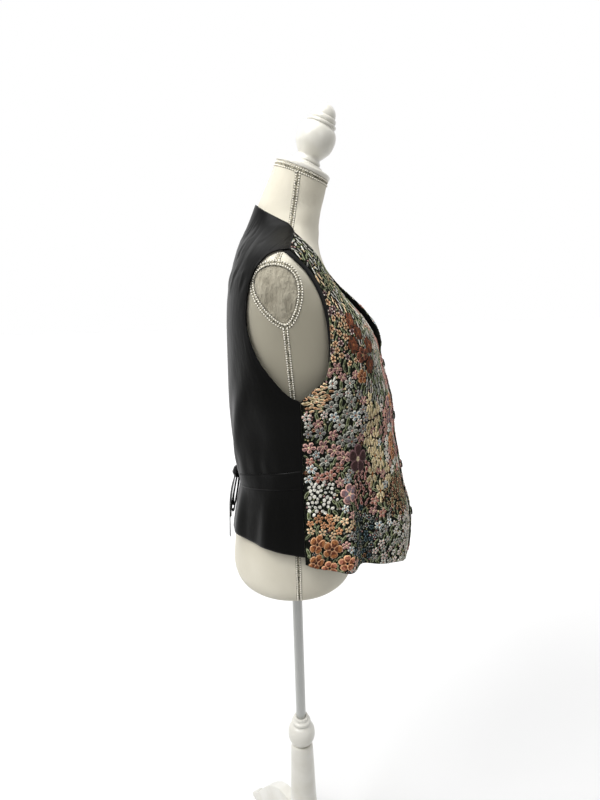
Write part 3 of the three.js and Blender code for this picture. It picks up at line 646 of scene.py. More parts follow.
def braid(name, path, normals, slot_finish, seam):
    """Stitches along a path, slanted to each other in two rows, on a flat seam."""
    forward = np.gradient(path, axis=0)
    sides = np.cross(normals, forward)
    sides /= np.linalg.norm(sides, axis=1, keepdims=True)
    lengths = np.concatenate([[0], np.cumsum(np.linalg.norm(np.diff(path, axis=0), axis=1))])
    count = int(lengths[-1] / STITCH["pitch"])
    keys = (np.arange(count) + 0.5) * lengths[-1] / count
    centres = np.column_stack([np.interp(keys, lengths, path[:, k]) for k in range(3)])
    outward = np.column_stack([np.interp(keys, lengths, normals[:, k]) for k in range(3)])
    outward /= np.linalg.norm(outward, axis=1, keepdims=True)
    along = np.gradient(centres, axis=0)
    along -= outward * (along * outward).sum(axis=1, keepdims=True)
    along /= np.linalg.norm(along, axis=1, keepdims=True)
    across = np.cross(outward, along)
    shape, shape_faces = stitch_shape()
    points, faces = [], []
    for row in (-1, 1):
        turn = row * STITCH["slant"]
        long_way = math.cos(turn) * along + math.sin(turn) * across
        wide_way = np.cross(outward, long_way)
        middle = centres + row * STITCH["rows"] * across
        for k in range(count):
            start = len(points) * len(shape)
            points.append(
                middle[k]
                + STITCH["long"] * shape[:, :1] * long_way[k]
                + STITCH["wide"] * shape[:, 1:2] * wide_way[k]
                + STITCH["tall"] * shape[:, 2:] * outward[k]
            )
            faces += [tuple(start + v for v in face) for face in shape_faces]
    new_mesh_piece(name, np.concatenate(points), faces, slot_finish)
    strip = [path + STITCH["seam"] * share * sides + lift * normals for share, lift in SEAM_BED]
    strip_faces = grid_faces(len(path), len(SEAM_BED), False)
    new_mesh_piece(f"{name}_seam", np.stack(strip, axis=1), strip_faces, seam)


def cotton_braid():
    """Cream cotton, paler than the linen, with fine fibres."""
    finish, tree, shader = new_finish("cotton_braid", (0.84, 0.80, 0.70), 0.8)
    where = node(tree, "ShaderNodeTexCoord").outputs["Object"]
    relief(tree, shader, grain(tree, where, 2.0, 900.0), 0.3, 0.0003)
    shader.inputs["Sheen Weight"].default_value = 0.2
    return finish


def seam_shadow():
    """The linen's pressed seam, greyed by dust and needle holes and darkened further as painted shadow
    between the stitches.
    """
    finish, tree, shader = new_finish("seam_dust_and_shadow", (0.20, 0.185, 0.14), 0.9)
    where = node(tree, "ShaderNodeTexCoord").outputs["Object"]
    holes = grain(tree, where, 2.0, 420.0)
    tone = tones(tree, holes, (0.42, (0.07, 0.065, 0.045)), (0.6, (0.40, 0.37, 0.28)))
    tree.links.new(tone, shader.inputs["Base Color"])
    return finish


braid_cotton = cotton_braid()
seam_dust_and_shadow = seam_shadow()


def on_form(angle, height, lift=0.3):
    angle, height = np.asarray(angle, dtype=float), np.asarray(height, dtype=float)
    normal = normals_of(form_point, angle, height)
    return form_point(angle, height) + lift * normal, normal


def angle_on(section, y, height):
    """The angle on the right half at which a section has this y."""
    _, back, side, front, square, front_square, _ = section(height)
    behind = y > side
    share = np.clip((y - side) / np.where(behind, back - side, side - front), -1, 1)
    return math.pi - np.arcsin(signed_power(share, np.where(behind, square, front_square) / 2))


def plate_edge(steps=90):
    """The teardrop's outline, from its foot round the top and back."""
    turn = np.linspace(0, 2 * math.pi, steps)
    share = np.clip(0.5 - 0.5 * np.cos(turn), 0, 1)
    y = plate_middle(share) + np.sign(np.sin(turn)) * plate_half(share)
    return y, ARM_PLATE["foot"] + share * (ARM_PLATE["top"] - ARM_PLATE["foot"])


seam_paths = {}
plate_y, plate_z = plate_edge()
seam_paths["plate"] = (angle_on(form_section, plate_y, plate_z), plate_z)
side_z = np.linspace(ARM_PLATE["foot"] - 2, FORM_BOTTOM + 5, 160)
side_y = plate_middle(0) - 8 * np.clip((ARM_PLATE["foot"] - side_z) / 120, 0, 1)
seam_paths["side"] = (angle_on(form_section, side_y, side_z), side_z)
nub_z = np.linspace(ARM_PLATE["top"] + 2, 1358, 6)
seam_paths["nub"] = (angle_on(form_section, np.interp(nub_z, [1347, 1358], [11, 6]), nub_z), nub_z)
neck_z = np.linspace(1385, NECK_TOP - 6, 60)
neck_y = np.interp(neck_z, [1385, NECK_TOP], [-8, -24])
seam_paths["neck"] = (angle_on(form_section, neck_y, neck_z), neck_z)
for seam, (angle, height) in seam_paths.items():
    for side, turned in {"right": angle, "left": math.pi - angle}.items():
        path, outward = on_form(turned, height)
        braid(f"braid_{seam}_{side}", path, outward, braid_cotton, seam_dust_and_shadow)
collar_angle = np.linspace(0, 2 * math.pi, 120)
path, outward = on_form(collar_angle, np.full(collar_angle.shape, NECK_TOP - 4.5))
braid("braid_collar", path, outward, braid_cotton, seam_dust_and_shadow)

# ---- Dress form: neck cap and finial ----
# A turned wooden cap closes the leaning neck, and a turned knob with a ball and a bun on top is
# screwed into it. Both have the stand's paint.
NECK_MIDDLE_Y = -29.5
CAP_PROFILE = [
    (43.4, 0.4),
    (44.6, 1.2),
    (45, 3.5),
    (44.6, 6),
    (42, 8),
    (36, 9),
    (31.5, 9.6),
    (30, 11),
    (28.5, 12.6),
    (22, 14.5),
]
FINIAL_PROFILE = [
    (20.5, 0),
    (21, 2.5),
    (20, 4.5),
    (18.5, 6.5),
    (18.5, 9.5),
    (22.5, 14.5),
    (28.5, 24),
    (30.5, 34),
    (30.5, 42),
    (27.5, 51),
    (22, 57.5),
    (23.3, 58.6),
    (23.6, 60.3),
    (23, 61.8),
    (19.6, 63.2),
    (20.4, 65),
    (20.6, 67.5),
    (19.8, 69.8),
    (17.6, 71.2),
    (17.3, 74),
    (15.5, 79.5),
    (11.5, 84.5),
    (6, 88),
    (2, 89),
]
FINIAL_FORWARD = 2.5

neck_frame = (
    Matrix.Translation((0, POLE_Y + NECK_MIDDLE_Y * MM, NECK_TOP * MM))
    @ Matrix.Rotation(math.atan(NECK_LEAN), 4, "X")
)
for name, profile, lift, cad in (
    ("turned_neck_cap", CAP_PROFILE, 0, "neck_cap"),
    ("turned_finial", FINIAL_PROFILE, 14.9, "finial"),
):
    piece = turned_piece(name, profile, bored=False)
    forward = 0 if lift == 0 else -FINIAL_FORWARD * MM
    piece.data.transform(neck_frame @ Matrix.Translation((0, forward, lift * MM)))
    piece.data.materials.append(wood_paint)
    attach(piece, "root")
    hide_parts(cad)

# ---- Vest back ----
# One piece of black satin reaches from side seam to side seam. It hangs on the shoulders, is
# drawn in by the half belts, and creases softly at the yoke and below the arms.
SEAM_GAP = 0.4
CLOTH_CLEARANCE = 1.5
SATIN_WALL = 1.6
SIDE_SEAM_Y = -17
UNDERARM_Z = 1149
SIDE_HEM = {"front": 887, "back": 900}
CENTRE_HEM = {"front": 794, "back": 890}
NECK_V_Z = 1206
NAPE_Z = 1426
SHOULDER_TIP = (-7, 1360)
SHOULDER_NECK = (-13, 1385.5)
LOWER_ROWS = 13
BACK_UPPER_ROWS = 16
SHOULDER_SHARE = 5 / 14
CENTRE_UNDERARM_Z = 1165
vest_section = smooth_table(
    [
        (780, 166, 107, -12, -194, 2.1, 1.7, 0),
        (812, 166, 108, -12, -199, 2.1, 1.7, 0),
        (833, 166, 109.5, -12, -204, 2.1, 1.7, 0),
        (873, 165, 109.5, -12, -206, 2.1, 1.75, 0),
        (914, 163, 105, -12, -202, 2.1, 1.8, 0),
        (953, 158, 97, -12, -191, 2.1, 1.85, 0),
        (985, 154, 90.5, -12, -185, 2.1, 1.9, 0),
        (1019, 152, 95, -12, -179, 2.1, 1.95, 0),
        (1052, 153, 98.5, -12, -173, 2.1, 2, 0),
        (1085, 155, 100, -12, -170, 2.1, 2.05, 0),
        (1112, 158, 100.5, -12, -167, 2.15, 2.1, 0),
        (1139, 161, 100, -12, -160, 2.2, 2.15, 0),
        (1175, 162, 99, -12, -150, 2.2, 2.2, 0),
        (1214, 162, 97.5, -9, -141, 2.25, 2.25, 0),
        (1250, 163, 95.8, -5, -121, 2.3, 2.3, 0),
        (1275, 164, 93.8, -2, -101, 2.3, 2.3, 0),
        *SHOULDER_SECTIONS,
    ]
)
FOLDS = [  # angle, width, depth, lowest, highest, share on the left
    (207, 6, 6, 780, 1000, 0.7),
    (217, 7, -17, 780, 1020, 0.4),
    (243, 8, 5, 780, 980, 1.2),
    (198, 7, -3, 860, 1010, 1.1),
    (158, 9, 4, 860, 990, 0.8),
    (138, 8, -4, 860, 980, 1.1),
    (120, 8, 4, 860, 1000, 0.9),
    (90, 16, -5, 925, 1010, 1),
    (150, 10, -3, 1030, 1140, 0.8),
    (126, 11, 3.5, 1020, 1180, 1.2),
]
FOLD_FADE = 70
YOKE_CREASES = 46
DRAPE_LEVEL = 1100
DRAPES = [  # side, lean, middle angle, width, middle height, half height, depth
    ("right", 0.16, 128, 6, 1085, 75, 3.4),
    ("right", 0.16, 115, 6, 1100, 75, -2.2),
    ("left", 0.12, 122, 7, 1085, 80, 1.8),
]
BACK_COLUMNS = 181
BACK_ROWS = 170


def smooth_step(low, high, value):
    t = np.clip((value - low) / (high - low), 0, 1)
    return t * t * (3 - 2 * t)


def fold_depth(angle, height):
    on_left = np.cos(angle) > 0
    degrees = np.degrees(np.where(on_left, 3 * math.pi - angle, angle)) % 360
    total = np.zeros_like(height, dtype=float)
    for middle, width, depth, lowest, highest, left in FOLDS:
        rising = smooth_step(lowest - FOLD_FADE, lowest, height)
        dying = 1 - smooth_step(highest - FOLD_FADE, highest + FOLD_FADE / 2, height)
        size = np.where(on_left, depth * left, depth)
        total += size * rising * dying * bell(degrees - middle, width)
    return total


def vest_base(angle, height):
    return section_point(vest_section, angle, height)


def vest_point(angle, height, out):
    """A point of the vest's under face, moved out along its normal."""
    angle, height = np.asarray(angle, dtype=float), np.asarray(height, dtype=float)
    normal = normals_of(vest_base, angle, height)
    return vest_base(angle, height) + (out + fold_depth(angle, height))[..., None] * normal


def angle_at_y(y, height):
    return angle_on(vest_section, y, height)


def angle_at_x(x, height):
    half, _, _, _, _, front_square, _ = vest_section(height)
    return 2 * math.pi - np.arccos(signed_power(np.clip(x / half, -1, 1), front_square / 2))


def mix(a, b, share):
    return a * (1 - share) + b * share


armhole_back = smooth_table(
    [
        (0, SIDE_SEAM_Y, UNDERARM_Z),
        (0.08, 2, 1160),
        (0.17, 21, 1182),
        (0.27, 40, 1209),
        (0.38, 53, 1245),
        (0.5, 56, 1280),
        (0.6, 53, 1308),
        (0.7, 44, 1334),
        (0.8, 28, 1350),
        (0.89, 12, 1358),
        (1, *SHOULDER_TIP),
    ]
)
back_hem = smooth_table(
    [
        (0, SIDE_HEM["back"]),
        (0.09, 903),
        (0.19, 906.5),
        (0.3, 909),
        (0.42, 907),
        (0.56, 905),
        (0.7, 903),
        (0.85, 897),
        (1, CENTRE_HEM["back"]),
    ]
)


def shoulder_seam(share, gap):
    height = mix(SHOULDER_TIP[1], SHOULDER_NECK[1], share)
    return angle_at_y(mix(SHOULDER_TIP[0], SHOULDER_NECK[0], share) + gap, height), height


def back_top(across):
    """The back's top edge: the shoulder seam first and then the neckline."""
    gap = SEAM_GAP / 2
    on_seam = np.clip(across / SHOULDER_SHARE, 0, 1)
    on_neck = np.clip((across - SHOULDER_SHARE) / (1 - SHOULDER_SHARE), 0, 1)
    seam_angle, seam_height = shoulder_seam(on_seam, gap)
    neck_height = mix(SHOULDER_NECK[1], NAPE_Z, np.sin(on_neck * math.pi / 2) ** 0.8)
    neck_angle = mix(shoulder_seam(np.ones_like(across), gap)[0], math.pi / 2, on_neck)
    beyond = across > SHOULDER_SHARE
    return np.where(beyond, neck_angle, seam_angle), np.where(beyond, neck_height, seam_height)


def back_place(across, row):
    """Angle and height on the right half, across from the side to the centre back."""
    lower = np.minimum(1, row / LOWER_ROWS)
    upper = np.clip((row - LOWER_ROWS) / BACK_UPPER_ROWS, 0, 1)
    side_z = mix(SIDE_HEM["back"], UNDERARM_Z, lower)
    centre_z = mix(CENTRE_HEM["back"], CENTRE_UNDERARM_Z, lower)
    bow = (back_hem(across)[0] - mix(SIDE_HEM["back"], CENTRE_HEM["back"], across)) * (1 - lower) ** 2
    side = (angle_at_y(SIDE_SEAM_Y + SEAM_GAP / 2, side_z), side_z)
    base = (mix(side[0], math.pi / 2, across), mix(side_z, centre_z, across) + bow)
    arm_y, arm_z = armhole_back(upper)
    edge = (angle_at_y(arm_y + SEAM_GAP / 2, arm_z), arm_z)
    middle = (math.pi / 2, mix(CENTRE_UNDERARM_Z, NAPE_Z, upper))
    centre = (math.pi / 2, centre_z)
    top, tip, nape = back_top(across), back_top(np.zeros_like(across)), back_top(np.ones_like(across))
    place = []
    for k in (0, 1):
        corners = mix(mix(side[k], centre[k], across), mix(tip[k], nape[k], across), upper)
        patch = mix(edge[k], middle[k], across) + mix(base[k], top[k], upper) - corners
        place.append(np.where(upper > 0, patch, base[k]))
    return place


def satin_creases(angle, height):
    """Soft creases in millimetres: at the yoke, down from the shoulder blades, and at the waist."""
    degrees = np.degrees(angle)
    yoke = np.zeros(degrees.shape)
    pinch = random.Random(5)
    for _ in range(YOKE_CREASES):
        round_to, up_to = pinch.uniform(100, 168), pinch.uniform(1298, 1392)
        lean = math.radians(pinch.uniform(15, 75))
        long_half, wide_half = pinch.uniform(9, 20), pinch.uniform(2.0, 3.4)
        depth = pinch.uniform(0.35, 0.9) * pinch.choice((-1, 1))
        for mirrored in (degrees, 180 - degrees + 3):
            x, y = 1.6 * (mirrored - round_to), height - up_to
            along_it = x * math.cos(lean) + y * math.sin(lean)
            across_it = y * math.cos(lean) - x * math.sin(lean)
            yoke += depth * bell(along_it, long_half) * bell(across_it, wide_half)
    drape = np.zeros(degrees.shape)
    for side, lean, middle, width, level, tall, depth in DRAPES:
        own = degrees if side == "right" else 180 - degrees
        slant = own - lean * (height - DRAPE_LEVEL) - middle
        drape += depth * bell(slant, width) * bell(height - level, tall)
    gathers = 0.5 * np.sin(0.5 * degrees) * bell(height - 1035, 22)
    below = 0.8 * np.sin(0.42 * degrees + 0.6) * bell(height - 930, 40)
    return yoke + drape + gathers + below


def black_satin():
    """Black satin: a smooth, dark face with a broad soft sheen and fine crosswise threads."""
    finish, tree, shader = new_finish("black_satin", (0.003, 0.003, 0.0028), 0.36)
    cloth = node(tree, "ShaderNodeUVMap", {"uv_map": "cloth"}).outputs["UV"]
    relief(tree, shader, grain(tree, cloth, 3.0, stretch=(26, 12, 1), Roughness=0.55), 0.35, 0.004)
    relief(tree, shader, grain(tree, cloth, 2.0, stretch=(350, 2600, 1)), 0.25, 0.0002)
    shader.inputs["Specular IOR Level"].default_value = 0.09
    return finish


def cloth_piece(name, sheet, thickness, finishes, cloth_size, close=False):
    """A sheet of points becomes cloth with a turned edge and its own flat coordinates."""
    rows, columns = sheet.shape[:2]
    piece = new_mesh_piece(name, sheet, grid_faces(rows, columns, close), finishes[0])
    for finish in finishes[1:]:
        piece.data.materials.append(finish)
    flat = piece.data.uv_layers.new(name="cloth")
    u, v = np.meshgrid(np.linspace(0, cloth_size[0], columns), np.linspace(0, cloth_size[1], rows))
    uv = np.column_stack([u.reshape(-1), v.reshape(-1)])
    corner = np.empty(len(piece.data.loops), dtype=int)
    piece.data.loops.foreach_get("vertex_index", corner)
    flat.data.foreach_set("uv", uv[corner].reshape(-1))
    wall = piece.modifiers.new("wall", "SOLIDIFY")
    wall.thickness = thickness * MM
    wall.offset = -1
    wall.use_rim = True
    if len(finishes) > 1:
        wall.material_offset = 1
        wall.material_offset_rim = 1
    bpy.ops.object.select_all(action="DESELECT")
    bpy.context.view_layer.objects.active = piece
    piece.select_set(True)
    bpy.ops.object.modifier_apply(modifier="wall")
    return piece


back_across = np.linspace(-1, 1, BACK_COLUMNS)
back_rows = np.linspace(0, LOWER_ROWS + BACK_UPPER_ROWS, BACK_ROWS)
across_grid, row_grid = np.meshgrid(back_across, back_rows)
half_angle, half_height = back_place(1 - np.abs(across_grid), row_grid)
back_angle = np.where(across_grid > 0, math.pi - half_angle, half_angle)
back_out = CLOTH_CLEARANCE + SATIN_WALL + satin_creases(back_angle, half_height)
back_sheet = vest_point(back_angle, half_height, back_out)
satin = black_satin()
vest_back = cloth_piece("satin_back", back_sheet, 1.3, [satin], (0.46, 0.56))
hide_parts("vest_back")

# ---- Fronts: tapestry ground ----
# Each front is cut from one length of tapestry, dense and stiff, woven on black and lined with
# black. The left front laps over the right one, and its neck edge stands away from the chest. The
# hem falls to a point at the middle, with its corner rounded.
FRONT_UPPER_ROWS = 14
TAPESTRY_WALL = 2.2
LAP = 15
LAP_LIFT = TAPESTRY_WALL + 1.2
LAP_FADE = (22, 62)
LAP_TOP = 1320
NECK_STAND = {
    "most": 10,
    "foot": (1188, 1226),
    "upper": (1226, 1350),
    "top": (1350, 1384),
    "across": 0.45,
}
FRONT_COLUMNS = 121
FRONT_ROWS = 190
front_hem = smooth_table(
    [
        (0, SIDE_HEM["front"]),
        (0.06, 879),
        (0.15, 870),
        (0.24, 860),
        (0.33, 858),
        (0.5, 846),
        (0.63, 833),
        (0.8, 812),
        (0.91, 798),
        (0.96, 798.5),
        (1, CENTRE_HEM["front"] + 9),
    ]
)
armhole_front = smooth_table(
    [
        (0, SIDE_SEAM_Y, UNDERARM_Z),
        (0.11, -35, 1165),
        (0.2, -52, 1179),
        (0.3, -59, 1204),
        (0.42, -61, 1240),
        (0.54, -58.5, 1273),
        (0.63, -53.5, 1295),
        (0.72, -46, 1314),
        (0.81, -35, 1332),
        (0.91, -20, 1348),
        (1, *SHOULDER_TIP),
    ]
)
neck_edge = smooth_table(
    [
        (0, LAP, NECK_V_Z),
        (0.08, -3, 1212),
        (0.17, -20, 1223),
        (0.28, -34, 1244),
        (0.4, -46, 1272),
        (0.54, -57, 1303),
        (0.66, -67, 1328),
        (0.77, -76, 1349),
        (0.88, -81, 1369),
        (1, -78, SHOULDER_NECK[1]),
    ]
)


def front_place(across, row):
    """Angle and height on the right front, across from the side and armhole to the edge."""
    gap = -SEAM_GAP / 2
    lower = np.clip(row / LOWER_ROWS, 0, 1)
    upper = np.clip((row - LOWER_ROWS) / FRONT_UPPER_ROWS, 0, 1)
    side_z = mix(SIDE_HEM["front"], UNDERARM_Z, lower)
    centre_z = mix(CENTRE_HEM["front"], NECK_V_Z, lower)
    sag = mix(SIDE_HEM["front"], CENTRE_HEM["front"], across) - front_hem(across)[0]
    low_angle = mix(angle_at_y(SIDE_SEAM_Y + gap, side_z), angle_at_x(LAP, centre_z), across)
    low_height = mix(side_z, centre_z, across) - sag * (1 - lower) ** 2
    arm_y, arm_z = armhole_front(upper)
    neck_x, neck_z = neck_edge(upper)
    top = shoulder_seam(np.ones_like(across), gap)
    tip = shoulder_seam(np.zeros_like(across), gap)
    seam = shoulder_seam(across, gap)
    near_top = smooth_step(0.9, 1, upper)
    arm = (angle_at_y(arm_y + gap, arm_z), arm_z)
    neck = (mix(angle_at_x(neck_x, neck_z), top[0], near_top), mix(neck_z, top[1], near_top))
    high = []
    for k in (0, 1):
        bow = seam[k] - mix(tip[k], top[k], across)
        high.append(mix(arm[k], neck[k], across) + bow * upper**4)
    return np.where(upper > 0, high[0], low_angle), np.where(upper > 0, high[1], low_height)


def front_point(side, across, row, out):
    angle, height = front_place(across, row)
    if side == "right":
        return vest_point(angle, height, out)
    turned = 3 * math.pi - angle
    flat = vest_point(turned, height, out)
    x, z = flat[..., 0], flat[..., 2]
    lap = LAP_LIFT * (1 - smooth_step(*LAP_FADE, x)) * (z < LAP_TOP)
    rise = smooth_step(*NECK_STAND["foot"], z) * (1 - 0.8 * smooth_step(*NECK_STAND["upper"], z))
    stand = NECK_STAND["most"] * rise * (1 - smooth_step(*NECK_STAND["top"], z))
    stand = stand * smooth_step(NECK_STAND["across"], 1, across)
    return vest_point(turned, height, out + lap + stand)


def tapestry_ground():
    """Black ground cloth with ribs and a scatter of dull green and brown threads."""
    finish, tree, shader = new_finish("tapestry_ground", (0.012, 0.013, 0.010), 0.85)
    cloth = node(tree, "ShaderNodeUVMap", {"uv_map": "cloth"}).outputs["UV"]
    speck = grain(tree, cloth, 2.0, stretch=(420, 260, 1))
    black, green = (0.50, (0.005, 0.0055, 0.0045)), (0.62, (0.014, 0.018, 0.011))
    tone = tones(tree, speck, black, (0.76, (0.07, 0.075, 0.045)), green)
    tree.links.new(tone, shader.inputs["Base Color"])
    relief(tree, shader, waves(tree, cloth, "Y", 280.0, Distortion=1.2), 0.5, 0.0004)
    shader.inputs["Specular IOR Level"].default_value = 0.05
    return finish


def black_lining():
    """Plain black lining, a little duller than the satin."""
    finish, tree, shader = new_finish("black_lining", (0.004, 0.004, 0.004), 0.6)
    where = node(tree, "ShaderNodeTexCoord").outputs["Object"]
    relief(tree, shader, grain(tree, where, 1.0, 1500.0), 0.2, 0.0002)
    shader.inputs["Specular IOR Level"].default_value = 0.15
    return finish


ground = tapestry_ground()
lining = black_lining()
GROUND_OUT = CLOTH_CLEARANCE + TAPESTRY_WALL - 0.4
front_across = np.linspace(0, 1, FRONT_COLUMNS)
front_rows = np.linspace(0, LOWER_ROWS + FRONT_UPPER_ROWS, FRONT_ROWS)
across_grid, row_grid = np.meshgrid(front_across, front_rows)
for side in ("right", "left"):
    sheet = front_point(side, across_grid, row_grid, np.full(across_grid.shape, GROUND_OUT))
    sheet = sheet if side == "right" else sheet[:, ::-1]
    cloth_piece(
        f"tapestry_front_{side}", sheet, 1.8, [ground, lining], (0.24, 0.6)
    )
    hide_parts(f"front_{side}")

# ---- Fronts: tapestry flowers ----
# The pattern is woven in puffed threads that stand up from the ground: small flowers, poppies,
# lilies and leaves in many colours, each with a paler outline, and black ground between them.
THREADS = {
    "white": (0.76, 0.74, 0.66),
    "cream": (0.74, 0.62, 0.40),
    "straw": (0.45, 0.35, 0.17),
    "peach": (0.72, 0.40, 0.22),
    "tan": (0.34, 0.19, 0.09),
    "orange": (0.40, 0.155, 0.055),
    "rust": (0.155, 0.048, 0.022),
    "brown": (0.050, 0.021, 0.011),
    "coral": (0.38, 0.145, 0.09),
    "pink": (0.62, 0.37, 0.31),
    "mauve": (0.20, 0.11, 0.115),
    "plum": (0.055, 0.024, 0.024),
    "burgundy": (0.17, 0.028, 0.026),
    "sky": (0.20, 0.29, 0.34),
    "blue": (0.065, 0.105, 0.125),
    "teal": (0.030, 0.058, 0.062),
    "lilac": (0.18, 0.155, 0.18),
    "grey": (0.14, 0.145, 0.125),
    "silver": (0.44, 0.44, 0.38),
    "olive": (0.080, 0.088, 0.026),
    "leaf": (0.022, 0.034, 0.012),
    "sage": (0.30, 0.33, 0.20),
    "dark": (0.007, 0.007, 0.006),
}
BLOSSOMS = {  # outline, petal, petal near the centre, centre
    "sky": ("white", "sky", "blue", "coral"),
    "milk": ("white", "silver", "blue", "coral"),
    "mauve": ("pink", "mauve", "plum", "cream"),
    "lilac": ("silver", "lilac", "plum", "coral"),
    "ash": ("silver", "grey", "teal", "pink"),
    "rose": ("pink", "mauve", "burgundy", "cream"),
    "coral": ("pink", "coral", "burgundy", "cream"),
    "poppy": ("peach", "coral", "rust", "dark"),
    "amber": ("peach", "orange", "rust", "brown"),
    "rust": ("coral", "rust", "brown", "straw"),
    "umber": ("rust", "brown", "rust", "orange"),
    "buff": ("cream", "cream", "peach", "brown"),
    "peach": ("cream", "peach", "coral", "brown"),
    "tan": ("peach", "tan", "brown", "dark"),
    "plum": ("mauve", "plum", "plum", "cream"),
    "lily": ("cream", "straw", "cream", "orange"),
    "snow": ("white", "white", "silver", "olive"),
    "blush": ("white", "pink", "mauve", "dark"),
    "teal": ("sky", "blue", "teal", "dark"),
    "orchid": ("pink", "mauve", "lilac", "cream"),
    "bud": ("pink", "burgundy", "burgundy", "dark"),
    "mist": ("silver", "grey", "teal", "dark"),
    "fern": ("sage", "leaf", "olive", "leaf"),
    "moss": ("sage", "olive", "leaf", "leaf"),
    "straw": ("cream", "straw", "tan", "brown"),
}
MOTIFS = {  # kind: (rise, how close others come, spread of the turn)
    "bloom": (1.3, 0.84, 3.1),
    "lily": (1.0, 0.62, 0.25),
    "flower": (1.0, 0.80, 3.1),
    "floret": (0.7, 0.86, 3.1),
    "stroke": (0.7, 0.62, 0.35),
    "laid": (0.7, 0.46, 0.45),
    "spray": (0.7, 0.85, 1.2),
    "leaf": (0.6, 0.56, 0.9),
    "dot": (0.8, 0.92, 3.1),
}
BEDS = [  # kind, angle, height, reach round, reach up, size, stretch, blossoms
    ("bloom", 212, 1042, 2, 6, 42, 1.4, "plum"),
    ("bloom", 207, 988, 3, 8, 35, 1.0, "orchid"),
    ("bloom", 230, 1222, 9, 34, 27, 1.0, "rust umber umber"),
    ("bloom", 222, 1178, 7, 16, 25, 1.0, "amber umber"),
    ("bloom", 195, 893, 10, 29, 28, 1.0, "poppy amber poppy umber"),
    ("lily", 226, 1088, 6, 42, 29, 2.3, "lily straw"),
    ("lily", 231, 1008, 7, 30, 32, 2.3, "lily lily straw"),
    ("flower", 206, 1142, 10, 32, 20, 1.0, "sky sky sky milk ash"),
    ("flower", 199, 1080, 15, 30, 22, 1.0, "mauve lilac ash rose"),
    ("flower", 195, 1034, 7, 14, 21, 1.0, "coral rose"),
    ("flower", 195, 943, 11, 17, 14, 1.0, "amber peach"),
    ("laid", 192, 1153, 10, 20, 10, 1.0, "straw peach peach tan"),
    ("dot", 191, 990, 8, 30, 6, 1.0, "snow"),
    ("stroke", 217, 1000, 6, 44, 11, 0.9, "bud bud bud rose"),
    ("floret", 216, 912, 7, 52, 10, 1.2, "mist teal milk mist"),
    ("floret", 247, 958, 15, 32, 9, 1.0, "peach tan straw"),
    ("flower", 243, 858, 20, 68, 13, 1.0, "lilac blush ash milk"),
    ("stroke", 238, 1182, 15, 58, 9, 1.6, "ash mist blush fern"),
    ("spray", 238, 1290, 14, 40, 12, 1.5, "milk fern fern buff"),
    ("floret", 217, 1250, 19, 48, 11.5, 1.0, "buff buff buff blush"),
    ("spray", 213, 1308, 40, 15, 13, 1.5, "buff buff blush fern"),
    ("spray", 220, 1355, 80, 38, 12, 1.2, "milk lilac milk ash fern"),
    ("bloom", 256, 1120, 12, 90, 26, 1.0, "rose coral amber mauve orchid"),
    ("flower", 256, 1050, 16, 150, 18, 1.0, "sky milk blush coral lilac"),
    ("flower", 225, 1080, 60, 260, 16, 1.0, "sky mauve blush coral lilac rose milk"),
    ("leaf", 225, 1080, 90, 330, 15, 1.0, "fern moss fern"),
    ("leaf", 225, 1080, 90, 330, 10, 1.0, "fern moss fern"),
    ("floret", 225, 1080, 90, 330, 7.5, 1.0, "peach mauve tan lilac ash rust"),
    ("dot", 225, 1080, 90, 330, 3.6, 1.0, "moss straw ash mauve"),
]
SEAM_STRIP = 4.5  # plain ground along the side seam, up to the armhole
SEAM_STRIP_TOP = 1150
MOST_MOTIFS = 6000
TRIES = {"least": 1500, "per_area": 2.2e6, "most": 16000}
FLOWER_SEAT = 0.15  # the threads' height where a motif meets the ground
TURNED_UNDER = 1.6  # what a motif that crosses the cloth's edge folds under it at most
OVER_EDGE = 0.3
PANEL_JOIN = {"height": 1190, "reach": 80}  # the neck's foot, where the cloth's rows bend sharply
TEAR = {"share": 1.15, "room": 2}  # how far a motif's points may lie from its middle


def petal_rim(count, start, tip, half, fat=0.25):
    turn = np.arange(count) * 2 * math.pi / count
    along = (start + tip) / 2 - (tip - start) / 2 * np.cos(turn)
    return np.column_stack([half * np.sin(turn) * (1 - fat * np.cos(turn)), along])


def ringed_petal(rim, scales, rises, tones, near):
    """Rings shrink towards the petal's middle. Faces nearer the centre than near are deeper."""
    middle = np.array([0, rim[:, 1].mean()])
    count = len(rim)
    points, faces, shades = [], [], []
    for scale, rise in zip(scales, rises):
        points.append(np.column_stack([middle + scale * (rim - middle), np.full(count, rise)]))
    for ring, tone in enumerate(tones):
        for k in range(count):
            beside = (k + 1) % count
            low, high = ring * count, (ring + 1) * count
            faces.append((low + beside, low + k, high + k, high + beside))
            deep = tone == 1 and rim[k, 1] + rim[beside, 1] < 2 * near
            shades.append(2 if deep else tone)
    return np.concatenate(points), faces, shades, count


def joined(parts):
    points, faces, shades, start = [], [], [], 0
    for part_points, part_faces, part_shades in parts:
        points.append(part_points)
        faces += [tuple(start + v for v in face) for face in part_faces]
        shades += part_shades
        start += len(part_points)
    return np.concatenate(points), faces, shades


def turned_round(points, turn):
    c, s = math.cos(turn), math.sin(turn)
    x, y = points[:, 0], points[:, 1]
    return np.column_stack([c * x - s * y, s * x + c * y, points[:, 2]])


def dome(count, radius, rise, shade):
    turn = np.arange(count) * 2 * math.pi / count
    rim = np.column_stack([radius * np.cos(turn), radius * np.sin(turn), np.full(count, 0.3)])
    points = np.concatenate([rim, [(0, 0, rise)]])
    return points, [(k, (k + 1) % count, count) for k in range(count)], [shade] * count


